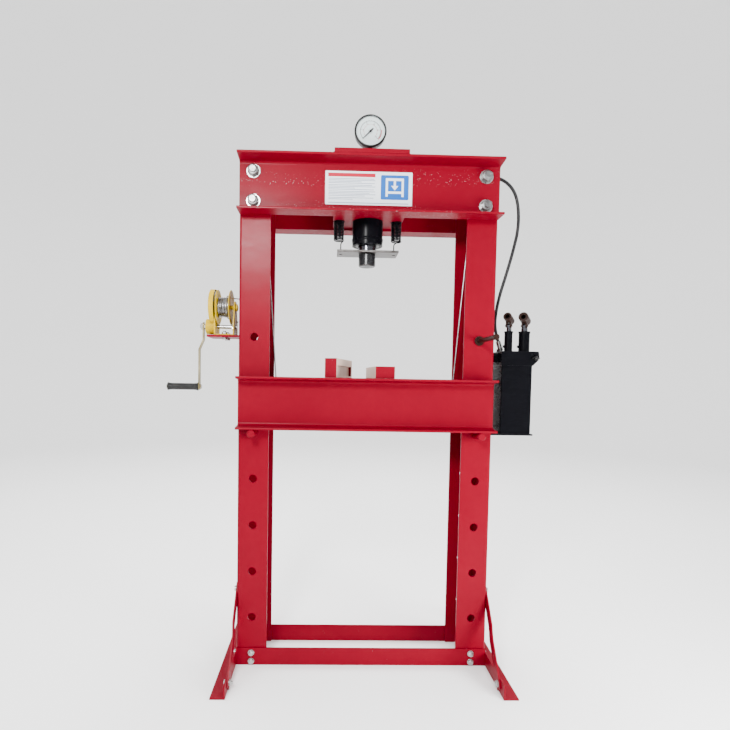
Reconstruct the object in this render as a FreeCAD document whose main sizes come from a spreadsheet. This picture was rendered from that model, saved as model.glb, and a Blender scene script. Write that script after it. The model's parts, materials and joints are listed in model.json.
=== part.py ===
"""Hydraulic shop press with an H frame, a lifting bed, a side winch and a side hand pump.

Millimetres, +Z up, +X to the right of the operator and -Y towards the operator. The origin is on
the floor, on the ram's axis. The driving sizes are in the sheet "Dims"; every sub-part's sizes
and places are expressions of those cells.
"""
import FreeCAD, Part
import Sketcher
import math
import os
import re

from FreeCAD import Placement, Rotation, Vector

doc = FreeCAD.newDocument("shop_press")
sheet = doc.addObject("Spreadsheet::Sheet", "Dims")

DIMS = [
    # frame
    ("frame_width", 950, "over the two columns"),
    ("column_face", 114, "flange width of a column"),
    ("column_depth", 184, "front flange face to rear flange face"),
    ("column_wall", 8, "column plate"),
    ("column_bend", 9, "outer bend radius of a column"),
    ("column_height", 1876, ""),
    ("hose_notch", 44, "width of the notch at the top of the right column"),
    ("hose_notch_deep", 36, ""),
    ("pin_hole_radius", 15, "holes for the bed pins"),
    ("pin_hole_first", 182, "height of the lowest pin holes"),
    ("pin_hole_pitch", 176, ""),
    ("pin_hole_count", 7, ""),
    ("bed_pin_row", 4, "the row that holds the bed, counted from 0"),
    ("crosshead_top", 1882, ""),
    ("crosshead_high", 200, "rolled channel"),
    ("crosshead_flange", 75, ""),
    ("crosshead_web", 9, ""),
    ("flange_root", 13.5, "flange thickness at the web"),
    ("flange_toe", 8, "flange thickness at the edge"),
    ("root_radius", 10, ""),
    ("toe_radius", 3.5, ""),
    ("cross_bolt_radius", 12, ""),
    ("cross_bolt_inset", 49, "upper row, from the crosshead's top face"),
    ("cross_bolt_low_inset", 45, "lower row, from the crosshead's bottom face"),
    ("cross_bolt_out", 6, "from the column's middle, outwards"),
    ("top_plate_width", 265, ""),
    ("top_plate_thick", 16, ""),
    ("guide_plate_thick", 12, ""),
    # base
    ("rail_high", 65, ""),
    ("rail_thick", 6, ""),
    ("rail_bolt_low", 15, ""),
    ("rail_bolt_pitch", 32, ""),
    ("base_bolt_radius", 6, ""),
    ("foot_length", 640, ""),
    ("foot_leg", 52, "flat leg of the foot angle"),
    ("foot_rise", 50, "upright leg of the foot angle"),
    ("foot_thick", 5, ""),
    ("foot_bolt_y", 60, "column bolts and upper brace bolts, from the centre line"),
    ("foot_bolt_z", 30, ""),
    ("brace_width", 38, ""),
    ("brace_top_z", 280, ""),
    ("brace_low_y", 265, ""),
    ("brace_low_z", 28, ""),
    # cylinder and ram
    ("cylinder_radius", 58, ""),
    ("cylinder_bottom", 1598, ""),
    ("bore_radius", 45, ""),
    ("bore_top_wall", 26, ""),
    ("gland_high", 40, ""),
    ("ram_radius", 35, ""),
    ("piston_high", 36, ""),
    ("running_gap", 0.05, "radial, in bores and on shafts"),
    ("ram_plate_width", 232, ""),
    ("ram_plate_deep", 95, ""),
    ("ram_plate_thick", 8, ""),
    ("ram_plate_bottom", 1566, ""),
    ("nose_radius", 32, ""),
    ("nose_high", 46, ""),
    ("spigot_radius", 13, "the nose's spigot through the plate into the ram"),
    ("spigot_deep", 22, ""),
    ("spring_x", 110, ""),
    ("spring_radius", 20, ""),
    ("spring_wire", 5, ""),
    ("spring_bottom", 1615, ""),
    ("spring_top", 1772, ""),
    ("hanger_z", 1800, ""),
    ("hanger_radius", 6, ""),
    # gauge
    ("gauge_radius", 60, ""),
    ("gauge_face_radius", 53, ""),
    ("gauge_y", -44, "centre of the case"),
    ("gauge_z", 2006.5, ""),
    ("gauge_deep", 38, ""),
    ("gauge_wall", 2.5, ""),
    ("stem_radius", 9, ""),
    # bed
    ("bed_high", 192, "rolled channel"),
    ("bed_flange", 70, ""),
    ("bed_web", 9, ""),
    ("bed_gap", 1, "between the bed and the columns' faces"),
    ("spacer_x", 275, "bed spacer plates from the middle"),
    ("spacer_thick", 10, ""),
    ("spacer_inset", 14, "below and above the spacer plates"),
    ("bed_pin_radius", 14.3, ""),
    ("bed_pin_length", 330, ""),
    ("seat_gap", 0.1, "clearance under what rests on a round pin"),
    ("block_thick", 44, ""),
    ("block_wide", 71, ""),
    ("block_length", 290, ""),
    ("block_recess", 12, "depth of the long recess in the left block"),
    ("block_turn_left", -13.6, "degrees about Z"),
    ("block_turn_right", 2.8, "degrees about Z"),
    ("block_x_left", -100, ""),
    ("block_x_right", 57, ""),
    # winch
    ("winch_z", 1354, "drum axis"),
    ("gear_distance", 74, "drum axis to pinion axis"),
    ("tooth_module", 2, ""),
    ("gear_teeth", 62, ""),
    ("pinion_teeth", 12, ""),
    ("gear_face", 10, ""),
    ("shelf_long", 126, ""),
    ("shelf_wide", 112, ""),
    ("shelf_thick", 8, ""),
    ("shelf_top", 1246, ""),
    ("bracket_wall", 4, ""),
    ("bracket_wide", 90, ""),
    ("bracket_top_radius", 24, ""),
    ("bracket_gap", 26, "winch bracket from the column"),
    ("bracket_inner", 67, "between the bracket's side plates"),
    ("drum_flange_radius", 66.5, ""),
    ("drum_flange_thick", 2.5, ""),
    ("drum_core_radius", 20, ""),
    ("wound_radius", 41, "outside of the wound rope"),
    ("axle_radius", 8, ""),
    ("shaft_radius", 7, ""),
    ("cover_radius", 68, "gear cover over the wheel"),
    ("cover_wall", 2, ""),
    ("cover_deep", 18, ""),
    ("lobe_radius", 29, ""),
    ("lobe_out", 18, "the pinion's cover beyond the gear's cover"),
    ("ratchet_radius", 16, ""),
    ("ratchet_thick", 6, ""),
    ("pawl_y", 25, ""),
    ("pawl_rise", 22, ""),
    ("crank_gap", 9, "crank arm from the pinion's cover"),
    ("crank_thick", 5, ""),
    ("crank_wide", 24, ""),
    ("crank_jog", 16, ""),
    ("crank_throw", 231, ""),
    ("grip_length", 118, ""),
    ("grip_radius", 13.5, ""),
    ("grip_flare", 15.8, ""),
    ("spindle_radius", 5, ""),
    # rope
    ("rope_radius", 2.5, ""),
    ("rope_turn", 24, "rope's centre line round a pulley"),
    ("pulley_radius", 28, ""),
    ("pulley_thick", 12, ""),
    ("pulley_axle_radius", 8, ""),
    ("top_pulley_z", 1782, ""),
    ("bed_pulley_x", 310, ""),
    ("bed_pulley_rise", 40, "above the bed's underside"),
    ("soft_gap", 0.3, "rope from what it runs on"),
    ("anchor_x", 404, ""),
    ("fairlead_y", 70, "rope's hole in the left column"),
    # pump
    ("tank_gap", 35, "tank from the column"),
    ("tank_width", 116, ""),
    ("tank_front", -80, ""),
    ("tank_deep", 120, ""),
    ("tank_bottom", 891, ""),
    ("tank_high", 258, ""),
    ("head_high", 54, ""),
    ("head_over", 24, "head beyond the tank on the right"),
    ("pump_shelf_thick", 6, ""),
    ("plunger_y", -30, ""),
    ("plunger_x_small", 38, "from the tank's left side"),
    ("plunger_x_large", 99, ""),
    ("barrel_high", 78, ""),
    ("barrel_small", 15, ""),
    ("barrel_large", 20.5, ""),
    ("plunger_small", 8, ""),
    ("plunger_large", 12, ""),
    ("plunger_foot", 10, "plunger's lower end above the head"),
    ("pivot_rise", 100, "socket pivots above the head"),
    ("pivot_radius", 4, ""),
    ("socket_rise", 26, "socket's axis above its pivot"),
    ("socket_length", 56, ""),
    ("socket_small", 15.5, ""),
    ("socket_large", 18, ""),
    ("socket_bore", 9.3, "takes the lever"),
    ("socket_turn", -32, "degrees about Z"),
    ("socket_tilt", -14, "degrees, mouth up"),
    ("lug_thick", 5, ""),
    ("eye_thick", 10, ""),
    ("lug_gap", 0.3, "each side of a plunger's eye"),
    ("link_back", 30, "fulcrum links behind the plungers"),
    # lever stored in the right column
    ("lever_row", 6, "pin-hole row, counted from 0"),
    ("lever_radius", 8.5, ""),
    ("lever_front", 205, "reach in front of the column"),
    ("lever_back", 24, "reach behind the column"),
    ("lever_bush", 14.4, ""),
    # hose
    ("hose_radius", 6, ""),
    ("hose_lean", 18, "degrees, the hose's lower end towards the column"),
    ("fitting_radius", 9, ""),
    ("port_z", 1845, ""),
]
ALIASES = {name for name, _, _ in DIMS}
for row, (name, value, note) in enumerate(DIMS, 1):
    sheet.set(f"A{row}", name)
    sheet.set(f"B{row}", str(value))
    sheet.set(f"C{row}", note)
    sheet.setAlias(f"B{row}", name)
doc.recompute()


def bound(text):
    """The expression with each sheet alias written as a cell of the sheet."""
    return re.sub(r"[a-z_]+", lambda m: "Dims." + m.group() if m.group() in ALIASES else m.group(),
                  str(text))


def value(text):
    """The expression's number now."""
    return float(sheet.evalExpression(bound(text)))


PIECES = []


def bind(obj, **sizes):
    """Bind an object's properties to expressions."""
    for prop, text in sizes.items():
        obj.setExpression(prop, bound(text))
    return obj


def at(obj, x="0", y="0", z="0", turn=None, about=Vector(0, 0, 1)):
    """Bind an object's place, and turn it by a bound angle in degrees."""
    if turn is not None:
        obj.Placement = Placement(Vector(), Rotation(about, value(turn)))
        obj.setExpression("Placement.Rotation.Angle", bound(turn)) if value(turn) > 0 else None
    for axis, text in zip("xyz", (x, y, z)):
        obj.setExpression("Placement.Base." + axis, bound(text))
    return obj


def box(x, y, z, long, wide, high):
    """A box from its low corner."""
    made = doc.addObject("Part::Box", "box")
    bind(made, Length=long, Width=wide, Height=high)
    return at(made, x, y, z)


ALONG = {"X": Rotation(Vector(0, 1, 0), 90), "Y": Rotation(Vector(1, 0, 0), -90), "Z": Rotation()}


def rod(axis, radius, length, x, y, z):
    """A cylinder that starts at a point and runs along +X, +Y or +Z."""
    made = doc.addObject("Part::Cylinder", "rod")
    bind(made, Radius=radius, Height=length)
    made.Placement = Placement(Vector(), ALONG[axis])
    return at(made, x, y, z)


def cone(axis, radius_start, radius_end, length, x, y, z):
    """A cone frustum that starts at a point and runs along +X, +Y or +Z."""
    made = doc.addObject("Part::Cone", "cone")
    bind(made, Radius1=radius_start, Radius2=radius_end, Height=length)
    made.Placement = Placement(Vector(), ALONG[axis])
    return at(made, x, y, z)


def ring(axis, radius, wire, x, y, z):
    """A torus about an axis."""
    made = doc.addObject("Part::Torus", "ring")
    bind(made, Radius1=radius, Radius2=wire)
    made.Placement = Placement(Vector(), ALONG[axis])
    return at(made, x, y, z)


def hexagon(axis, across, length, x, y, z):
    """A six-sided prism, such as a nut or a bolt's head."""
    made = doc.addObject("Part::Prism", "hexagon")
    made.Polygon = 6
    bind(made, Circumradius=f"({across}) / 2 / cos(30)", Height=length)
    made.Placement = Placement(Vector(), ALONG[axis])
    return at(made, x, y, z)


def fuse(*parts):
    """One solid from several."""
    made = doc.addObject("Part::MultiFuse", "joined")
    made.Shapes = list(parts)
    made.Refine = True
    return made


def cut(base, *tools):
    """The base with the tools taken away."""
    made = doc.addObject("Part::Cut", "cut")
    made.Base = base
    made.Tool = tools[0] if len(tools) == 1 else fuse(*tools)
    return made


def group(*parts):
    """Separate solids kept together in one sub-part."""
    made = doc.addObject("Part::Compound", "group")
    made.Links = list(parts)
    return made


def piece(node, obj):
    """Name a finished sub-part."""
    obj.Label = node
    PIECES.append((node, obj))
    return obj


def sketch_on(body, role, outline):
    """A closed outline of straight lines on one of the body's own planes, each corner bound."""
    sketch = body.newObject("Sketcher::SketchObject", "outline")
    plane = [f for f in body.Origin.OriginFeatures if f.Role == role][0]
    sketch.AttachmentSupport = [(plane, "")]
    sketch.MapMode = "FlatFace"
    corners = [(value(a), value(b)) for a, b in outline]
    last = len(corners)
    for i in range(last):
        start, end = corners[i], corners[(i + 1) % last]
        sketch.addGeometry(Part.LineSegment(Vector(*start, 0), Vector(*end, 0)), False)
    for i in range(last):
        sketch.addConstraint(Sketcher.Constraint("Coincident", i, 2, (i + 1) % last, 1))
    for i in range(last):
        for side, kind in enumerate(("DistanceX", "DistanceY")):
            index = sketch.addConstraint(Sketcher.Constraint(kind, -1, 1, i, 1, corners[i][side]))
            sketch.setExpression(f"Constraints[{index}]", bound(outline[i][side]))
    return sketch


def round_edges(body, radius, wanted):
    """Fillet the edges of the body's last feature for which wanted(edge) is true."""
    doc.recompute()
    base = body.Tip
    names = [f"Edge{i}" for i, e in enumerate(base.Shape.Edges, 1) if wanted(e)]
    fillet = body.newObject("PartDesign::Fillet", "rounds")
    fillet.Base = (base, names)
    bind(fillet, Radius=radius)
    return fillet


def padded(role, outline, length, x="0", y="0", z="0"):
    """A body padded from an outline along its plane's normal."""
    body = doc.addObject("PartDesign::Body", "body")
    sketch = sketch_on(body, role, outline)
    pad = body.newObject("PartDesign::Pad", "pad")
    pad.Profile = sketch
    bind(pad, Length=length)
    sketch.Visibility = False
    doc.recompute()
    at(body, x, y, z)
    return body


def along(edge, axis):
    """Whether a straight edge runs along an axis."""
    if not isinstance(edge.Curve, Part.Line):
        return False
    return abs(getattr(edge.Curve.Direction, axis)) > 0.999


# ---- columns: pressed channels, open towards the middle -------------------------------------
COLUMN_X = "(frame_width / 2 - column_face / 2)"
CROSS_BOLT_X = f"({COLUMN_X} + cross_bolt_out)"
CROSS_BOLT_Z = ("crosshead_top - cross_bolt_inset", "crosshead_top - crosshead_high + cross_bolt_low_inset")


def column(side):
    """A column with its pin holes; side is -1 for the left one and 1 for the right one."""
    out = f"{side} * frame_width / 2"
    mouth = f"{side} * (frame_width / 2 - column_face)"
    inner = f"{side} * (frame_width / 2 - column_wall)"
    half, inside = "column_depth / 2", "(column_depth / 2 - column_wall)"
    outline = [
        (mouth, f"-{half}"), (out, f"-{half}"), (out, half), (mouth, half),
        (mouth, inside), (inner, inside), (inner, f"-{inside}"), (mouth, f"-{inside}"),
    ]
    body = padded("XY_Plane", outline, "column_height")
    outer = abs(value(out))
    deep = value(half)
    round_edges(body, "column_bend", lambda e: along(e, "z") and abs(abs(e.CenterOfMass.x) - outer) < 0.01)
    core = value("frame_width / 2 - column_wall")
    round_edges(body, "column_bend - column_wall", lambda e: along(e, "z")
                and abs(abs(e.CenterOfMass.x) - core) < 0.01 and abs(e.CenterOfMass.y) < deep - 1)
    doc.recompute()
    holes = body.newObject("Sketcher::SketchObject", "holes")
    plane = [f for f in body.Origin.OriginFeatures if f.Role == "XZ_Plane"][0]
    holes.AttachmentSupport = [(plane, "")]
    holes.MapMode = "FlatFace"
    centre_x, first = f"{side} * {COLUMN_X}", "pin_hole_first"
    holes.addGeometry(Part.Circle(Vector(value(centre_x), value(first), 0), Vector(0, 0, 1), 15), False)
    for kind, text in (("DistanceX", centre_x), ("DistanceY", first)):
        index = holes.addConstraint(Sketcher.Constraint(kind, -1, 1, 0, 3, value(text)))
        holes.setExpression(f"Constraints[{index}]", bound(text))
    index = holes.addConstraint(Sketcher.Constraint("Radius", 0, value("pin_hole_radius")))
    holes.setExpression(f"Constraints[{index}]", bound("pin_hole_radius"))
    pocket = body.newObject("PartDesign::Pocket", "pin_hole")
    pocket.Profile = holes
    pocket.Type = "Length"
    pocket.Midplane = True
    bind(pocket, Length="column_depth * 1.2")
    doc.recompute()
    rows = body.newObject("PartDesign::LinearPattern", "pin_hole_rows")
    rows.Originals = [pocket]
    vertical = [f for f in body.Origin.OriginFeatures if f.Role == "Z_Axis"][0]
    rows.Direction = (vertical, [""])
    bind(rows, Length="pin_hole_pitch * (pin_hole_count - 1)", Occurrences="pin_hole_count")
    body.Tip = rows
    holes.Visibility = False
    doc.recompute()
    return body


def column_bores(side):
    """Round holes through a column for the crosshead, rail, foot and brace bolts."""
    x = f"{side} * {COLUMN_X}"
    tools = []
    for z in CROSS_BOLT_Z:
        tools.append(rod("Y", "cross_bolt_radius", "column_depth * 1.2", f"{side} * {CROSS_BOLT_X}",
                         "-column_depth * 0.6", z))
    for z in ("rail_bolt_low", "rail_bolt_low + rail_bolt_pitch"):
        tools.append(rod("Y", "base_bolt_radius", "column_depth * 1.2", x, "-column_depth * 0.6", z))
    web = "frame_width / 2 - 2 * column_wall" if side > 0 else "-frame_width / 2 - column_wall"
    for y in ("-foot_bolt_y", "foot_bolt_y"):
        for z in ("foot_bolt_z", "brace_top_z"):
            tools.append(rod("X", "base_bolt_radius", "3 * column_wall", web, y, z))
    return tools


left_tools = column_bores(-1)
left_tools.append(rod("Y", "pulley_axle_radius", "column_depth", f"-{COLUMN_X}", "-column_depth / 2",
                      "top_pulley_z"))
left_tools.append(rod("X", "3 * rope_radius", "3 * column_wall", "-frame_width / 2 - column_wall",
                      "fairlead_y", "winch_z + wound_radius + rope_radius"))
piece("column_left", cut(column(-1), *left_tools))

right_tools = column_bores(1)
right_tools.append(box("frame_width / 2 - 2 * column_wall", "-hose_notch / 2",
                       "column_height - hose_notch_deep", "3 * column_wall", "hose_notch",
                       "2 * hose_notch_deep"))
right_tools.append(rod("Y", "pulley_axle_radius", "column_depth", "anchor_x", "-column_depth / 2",
                       "top_pulley_z"))
piece("column_right", cut(column(1), *right_tools))


# ---- rolled channels: crosshead and bed -----------------------------------------------------
def channel(side, high, flange, web, face, top):
    """A rolled channel along X with tapered flanges that point away from the columns.

    side is -1 in front and 1 behind; face is the distance of its back from the middle plane.
    """
    back, skin = f"{side} * ({face})", f"{side} * ({face} + {web})"
    edge = f"{side} * ({face} + {flange})"
    low = f"({top} - {high})"
    outline = [
        (back, low), (edge, low), (edge, f"{low} + flange_toe"), (skin, f"{low} + flange_root"),
        (skin, f"{top} - flange_root"), (edge, f"{top} - flange_toe"), (edge, top), (back, top),
    ]
    body = padded("YZ_Plane", outline, "frame_width", x="-frame_width / 2")
    at_skin, at_edge = value(skin), value(edge)
    lowest, highest = value(low), value(top)

    def inner(edge_, plane):
        centre = edge_.CenterOfMass
        return along(edge_, "x") and abs(centre.y - plane) < 0.01 and lowest + 1 < centre.z < highest - 1

    round_edges(body, "root_radius", lambda e: inner(e, at_skin))
    round_edges(body, "toe_radius", lambda e: inner(e, at_edge))
    return body


def cross_bolt_tools():
    """The crosshead's through holes and the hanger pins' holes."""
    tools = []
    for side in (-1, 1):
        for z in CROSS_BOLT_Z:
            tools.append(rod("Y", "cross_bolt_radius", "column_depth * 2", f"{side} * {CROSS_BOLT_X}",
                             "-column_depth", z))
    return tools


for node, side in (("crosshead_front", -1), ("crosshead_rear", 1)):
    beam = channel(side, "crosshead_high", "crosshead_flange", "crosshead_web", "column_depth / 2",
                   "crosshead_top")
    piece(node, cut(beam, *cross_bolt_tools()))

NUT, NUT_HIGH, WASHER, WASHER_HIGH, STUD_OUT = "36", "19", "25", "4", "9"


def through_bolt(x, z):
    """A stud with a washer and a nut on each end, outside the crosshead's webs."""
    face = "(column_depth / 2 + crosshead_web)"
    reach = f"({face} + {WASHER_HIGH} + {NUT_HIGH} + {STUD_OUT})"
    parts = [rod("Y", "cross_bolt_radius", f"2 * {reach}", x, f"-{reach}", z)]
    for start in (f"-{face} - {WASHER_HIGH}", face):
        parts.append(rod("Y", WASHER, WASHER_HIGH, x, start, z))
    for start in (f"-{face} - {WASHER_HIGH} - {NUT_HIGH}", f"{face} + {WASHER_HIGH}"):
        parts.append(hexagon("Y", NUT, NUT_HIGH, x, start, z))
    return fuse(*parts)


piece("crosshead_bolts", group(*[
    through_bolt(f"{side} * {CROSS_BOLT_X}", z)
    for side in (-1, 1)
    for z in CROSS_BOLT_Z
]))

plate_reach = "(column_depth / 2 + crosshead_flange)"
piece("top_plate", cut(
    box("-top_plate_width / 2", f"-{plate_reach}", "crosshead_top", "top_plate_width",
        f"2 * {plate_reach}", "top_plate_thick"),
    rod("Z", "stem_radius", "3 * top_plate_thick", "0", "gauge_y", "crosshead_top - top_plate_thick")))
piece("guide_plate", cut(
    box("-top_plate_width / 2", "-column_depth / 2", "crosshead_top - crosshead_high + flange_toe",
        "top_plate_width", "column_depth", "guide_plate_thick"),
    rod("Z", "cylinder_radius", "4 * guide_plate_thick", "0", "0",
        "crosshead_top - crosshead_high - guide_plate_thick"),
    rod("Z", "spring_radius + 3", "4 * guide_plate_thick", "-spring_x", "0",
        "crosshead_top - crosshead_high - guide_plate_thick"),
    rod("Z", "spring_radius + 3", "4 * guide_plate_thick", "spring_x", "0",
        "crosshead_top - crosshead_high - guide_plate_thick")))

# ---- base: rails, feet, braces and their bolts ----------------------------------------------
for node, start in (("rail_front", "-column_depth / 2 - rail_thick"), ("rail_rear", "column_depth / 2")):
    bar = box("-frame_width / 2", start, "0", "frame_width", "rail_thick", "rail_high")
    holes = [
        rod("Y", "base_bolt_radius", "3 * rail_thick", f"{side} * {COLUMN_X}", f"{start} - rail_thick", z)
        for side in (-1, 1) for z in ("rail_bolt_low", "rail_bolt_low + rail_bolt_pitch")
    ]
    piece(node, cut(bar, *holes))


def foot(side):
    """An angle on the floor outside a column, its upright leg against the column's web."""
    wall, face = f"{side} * (frame_width / 2 + foot_thick)", f"{side} * frame_width / 2"
    edge = f"{side} * (frame_width / 2 + foot_leg)"
    outline = [(face, "0"), (edge, "0"), (edge, "foot_thick"), (wall, "foot_thick"), (wall, "foot_rise"),
               (face, "foot_rise")]
    # the XZ plane's normal is -Y, so the pad runs towards the operator
    body = padded("XZ_Plane", outline, "foot_length", y="foot_length / 2")
    start = f"{side} * (frame_width / 2 + foot_thick / 2) - foot_thick * 1.5"
    tools = [rod("X", "base_bolt_radius", "3 * foot_thick", start, y, "foot_bolt_z")
             for y in ("-foot_bolt_y", "foot_bolt_y")]
    tools += [rod("X", "base_bolt_radius", "3 * foot_thick", start, y, "brace_low_z")
              for y in ("-brace_low_y", "brace_low_y")]
    return cut(body, *tools)


piece("foot_left", foot(-1))
piece("foot_right", foot(1))

RUN_Y, RUN_Z = "(brace_low_y - foot_bolt_y)", "(brace_top_z - brace_low_z)"
BRACE_LONG = f"sqrt({RUN_Y} ^ 2 + {RUN_Z} ^ 2)"
END = "(brace_width / 2)"


def brace(side, end):
    """A flat bar from the column's web down to the foot, jogged by its own thickness.

    Its outline is drawn at the lower bolt with Y along the bar, then turned in the YZ plane.
    """
    inside, web = "frame_width / 2 - foot_thick", "frame_width / 2"
    outside = "frame_width / 2 + foot_thick"
    jog_low, jog_high = f"{BRACE_LONG} * 0.45", f"{BRACE_LONG} * 0.6"
    outline = [
        (f"{side} * ({inside})", f"-{END}"), (f"{side} * ({web})", f"-{END}"),
        (f"{side} * ({web})", jog_low), (f"{side} * ({outside})", jog_high),
        (f"{side} * ({outside})", f"{BRACE_LONG} + {END}"), (f"{side} * ({web})", f"{BRACE_LONG} + {END}"),
        (f"{side} * ({web})", jog_high), (f"{side} * ({inside})", jog_low),
    ]
    body = padded("XY_Plane", outline, "brace_width")
    doc.recompute()
    lean = math.degrees(math.atan2(value(RUN_Z), value(RUN_Y)))
    # the front brace leans back as it rises, the rear one leans forward
    turn = Rotation(Vector(1, 0, 0), lean if end < 0 else 180 - lean)
    body.Placement = Placement(Vector(), turn)
    sine, cosine = f"({RUN_Z} / {BRACE_LONG})", f"({RUN_Y} / {BRACE_LONG})"
    if end < 0:
        at(body, "0", f"-brace_low_y + {END} * {sine}", f"brace_low_z - {END} * {cosine}")
    else:
        at(body, "0", f"brace_low_y + {END} * {sine}", f"brace_low_z + {END} * {cosine}")
    start = f"{side} * frame_width / 2 - foot_thick * 2"
    return cut(body,
               rod("X", "base_bolt_radius", "4 * foot_thick", start, f"{end} * brace_low_y", "brace_low_z"),
               rod("X", "base_bolt_radius", "4 * foot_thick", start, f"{end} * foot_bolt_y", "brace_top_z"))


piece("braces", group(*[brace(side, end) for side in (-1, 1) for end in (-1, 1)]))

HEAD, HEAD_HIGH, TAIL = "19", "8", "5"


def frame_bolt(axis, low, high, x, y, z, head_low):
    """A bolt between two faces at low and high along its axis, with a head on one and a nut on the other."""
    spot = {"X": lambda v: (v, y, z), "Y": lambda v: (x, v, z), "Z": lambda v: (x, y, v)}[axis]
    tail_low, tail_high = ("0", TAIL) if head_low else (TAIL, "0")
    return fuse(
        rod(axis, "base_bolt_radius", f"({high}) - ({low}) + 2 * {HEAD_HIGH} + {TAIL}",
            *spot(f"{low} - {HEAD_HIGH} - {tail_low}")),
        rod(axis, "base_bolt_radius * 2", "2", *spot(f"{low} - 2")),
        rod(axis, "base_bolt_radius * 2", "2", *spot(high)),
        hexagon(axis, HEAD, f"{HEAD_HIGH} - 2", *spot(f"{low} - {HEAD_HIGH}")),
        hexagon(axis, HEAD, f"{HEAD_HIGH} - 2", *spot(f"({high}) + 2")))


bolts = []
for side in (-1, 1):
    x = f"{side} * {COLUMN_X}"
    for z in ("rail_bolt_low", "rail_bolt_low + rail_bolt_pitch"):
        bolts.append(frame_bolt("Y", "-column_depth / 2 - rail_thick", "-column_depth / 2 + column_wall",
                                x, "", z, True))
        bolts.append(frame_bolt("Y", "column_depth / 2 - column_wall", "column_depth / 2 + rail_thick",
                                x, "", z, False))
    web_in, web_out = "frame_width / 2 - column_wall", "frame_width / 2 + foot_thick"
    low, high = (web_in, web_out) if side > 0 else (f"-({web_out})", f"-({web_in})")
    for y in ("-foot_bolt_y", "foot_bolt_y"):
        for z in ("foot_bolt_z", "brace_top_z"):
            bolts.append(frame_bolt("X", low, high, "", y, z, side < 0))
    leg_in, leg_out = "frame_width / 2 - foot_thick", "frame_width / 2 + foot_thick"
    low, high = (leg_in, leg_out) if side > 0 else (f"-({leg_out})", f"-({leg_in})")
    for y in ("-brace_low_y", "brace_low_y"):
        bolts.append(frame_bolt("X", low, high, "", y, "brace_low_z", side < 0))

# ---- cylinder, ram and springs --------------------------------------------------------------
cylinder = cut(
    rod("Z", "cylinder_radius", "crosshead_top - cylinder_bottom", "0", "0", "cylinder_bottom"),
    rod("Z", "bore_radius", "crosshead_top - cylinder_bottom - bore_top_wall", "0", "0", "cylinder_bottom"),
    rod("X", "5", "cylinder_radius", "bore_radius - 5", "0", "port_z"),
    rod("Z", "5", "2 * bore_top_wall", "0", "gauge_y + 5", "crosshead_top - 1.5 * bore_top_wall"))
piece("cylinder_body", cylinder)
piece("cylinder_gland", cut(
    rod("Z", "bore_radius", "gland_high", "0", "0", "cylinder_bottom"),
    rod("Z", "ram_radius + running_gap", "3 * gland_high", "0", "0", "cylinder_bottom - gland_high")))
ram_foot = "(ram_plate_bottom + ram_plate_thick)"
piston_top = "(crosshead_top - bore_top_wall - 4)"
piece("ram", cut(
    fuse(rod("Z", "ram_radius", f"{piston_top} - {ram_foot}", "0", "0", ram_foot),
         rod("Z", "bore_radius - running_gap", "piston_high", "0", "0", f"{piston_top} - piston_high")),
    rod("Z", "spigot_radius", "2 * spigot_deep", "0", "0", f"{ram_foot} - spigot_deep")))
hook_holes = [rod("Z", "spring_wire + 1", "3 * ram_plate_thick", f"{side} * (spring_x - 8)", "0",
                  "ram_plate_bottom - ram_plate_thick") for side in (-1, 1)]
piece("ram_plate", cut(
    box("-ram_plate_width / 2", "-ram_plate_deep / 2", "ram_plate_bottom", "ram_plate_width",
        "ram_plate_deep", "ram_plate_thick"),
    rod("Z", "spigot_radius", "3 * ram_plate_thick", "0", "0", "ram_plate_bottom - ram_plate_thick"),
    *hook_holes))
piece("ram_nose", fuse(
    rod("Z", "nose_radius", "nose_high - 3", "0", "0", "ram_plate_bottom - nose_high + 3"),
    cone("Z", "nose_radius - 3", "nose_radius", "3", "0", "0", "ram_plate_bottom - nose_high"),
    rod("Z", "spigot_radius", "ram_plate_thick + spigot_deep - 1", "0", "0", "ram_plate_bottom")))


def return_spring(side):
    """A close-wound extension spring with a hook at each end, as a tube with ribs."""
    x, hook = f"{side} * spring_x", f"{side} * (spring_x - 8)"
    core = "spring_radius - spring_wire / 2"
    tube = cut(rod("Z", core, "spring_top - spring_bottom", x, "0", "spring_bottom"),
               rod("Z", "spring_radius - spring_wire - 0.6", "spring_top - spring_bottom - 2 * spring_wire",
                   x, "0", "spring_bottom + spring_wire"))
    ribs = [ring("Z", core, "spring_wire / 2", x, "0",
                 f"spring_bottom + spring_wire + {turn} * spring_wire * 2") for turn in range(15)]
    low = rod("Z", "spring_wire / 2",
              f"spring_bottom - {ram_foot} + ram_plate_thick / 2 + spring_wire", hook,
              "0", f"{ram_foot} - ram_plate_thick / 2")
    high = rod("Z", "spring_wire / 2", "hanger_z - hanger_radius - spring_top + spring_wire", x, "0",
               "spring_top - spring_wire")
    return fuse(tube, *ribs, low, high)


piece("return_springs", group(return_spring(-1), return_spring(1)))
web_gap = ("column_depth", "-column_depth / 2")
piece("crosshead_pins", group(
    rod("Y", "hanger_radius", web_gap[0], "-spring_x", web_gap[1], "hanger_z"),
    rod("Y", "hanger_radius", web_gap[0], "spring_x", web_gap[1], "hanger_z"),
    rod("Y", "pulley_axle_radius", web_gap[0], f"-{COLUMN_X}", web_gap[1], "top_pulley_z"),
    rod("Y", "pulley_axle_radius", web_gap[0], "anchor_x", web_gap[1], "top_pulley_z")))

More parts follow.
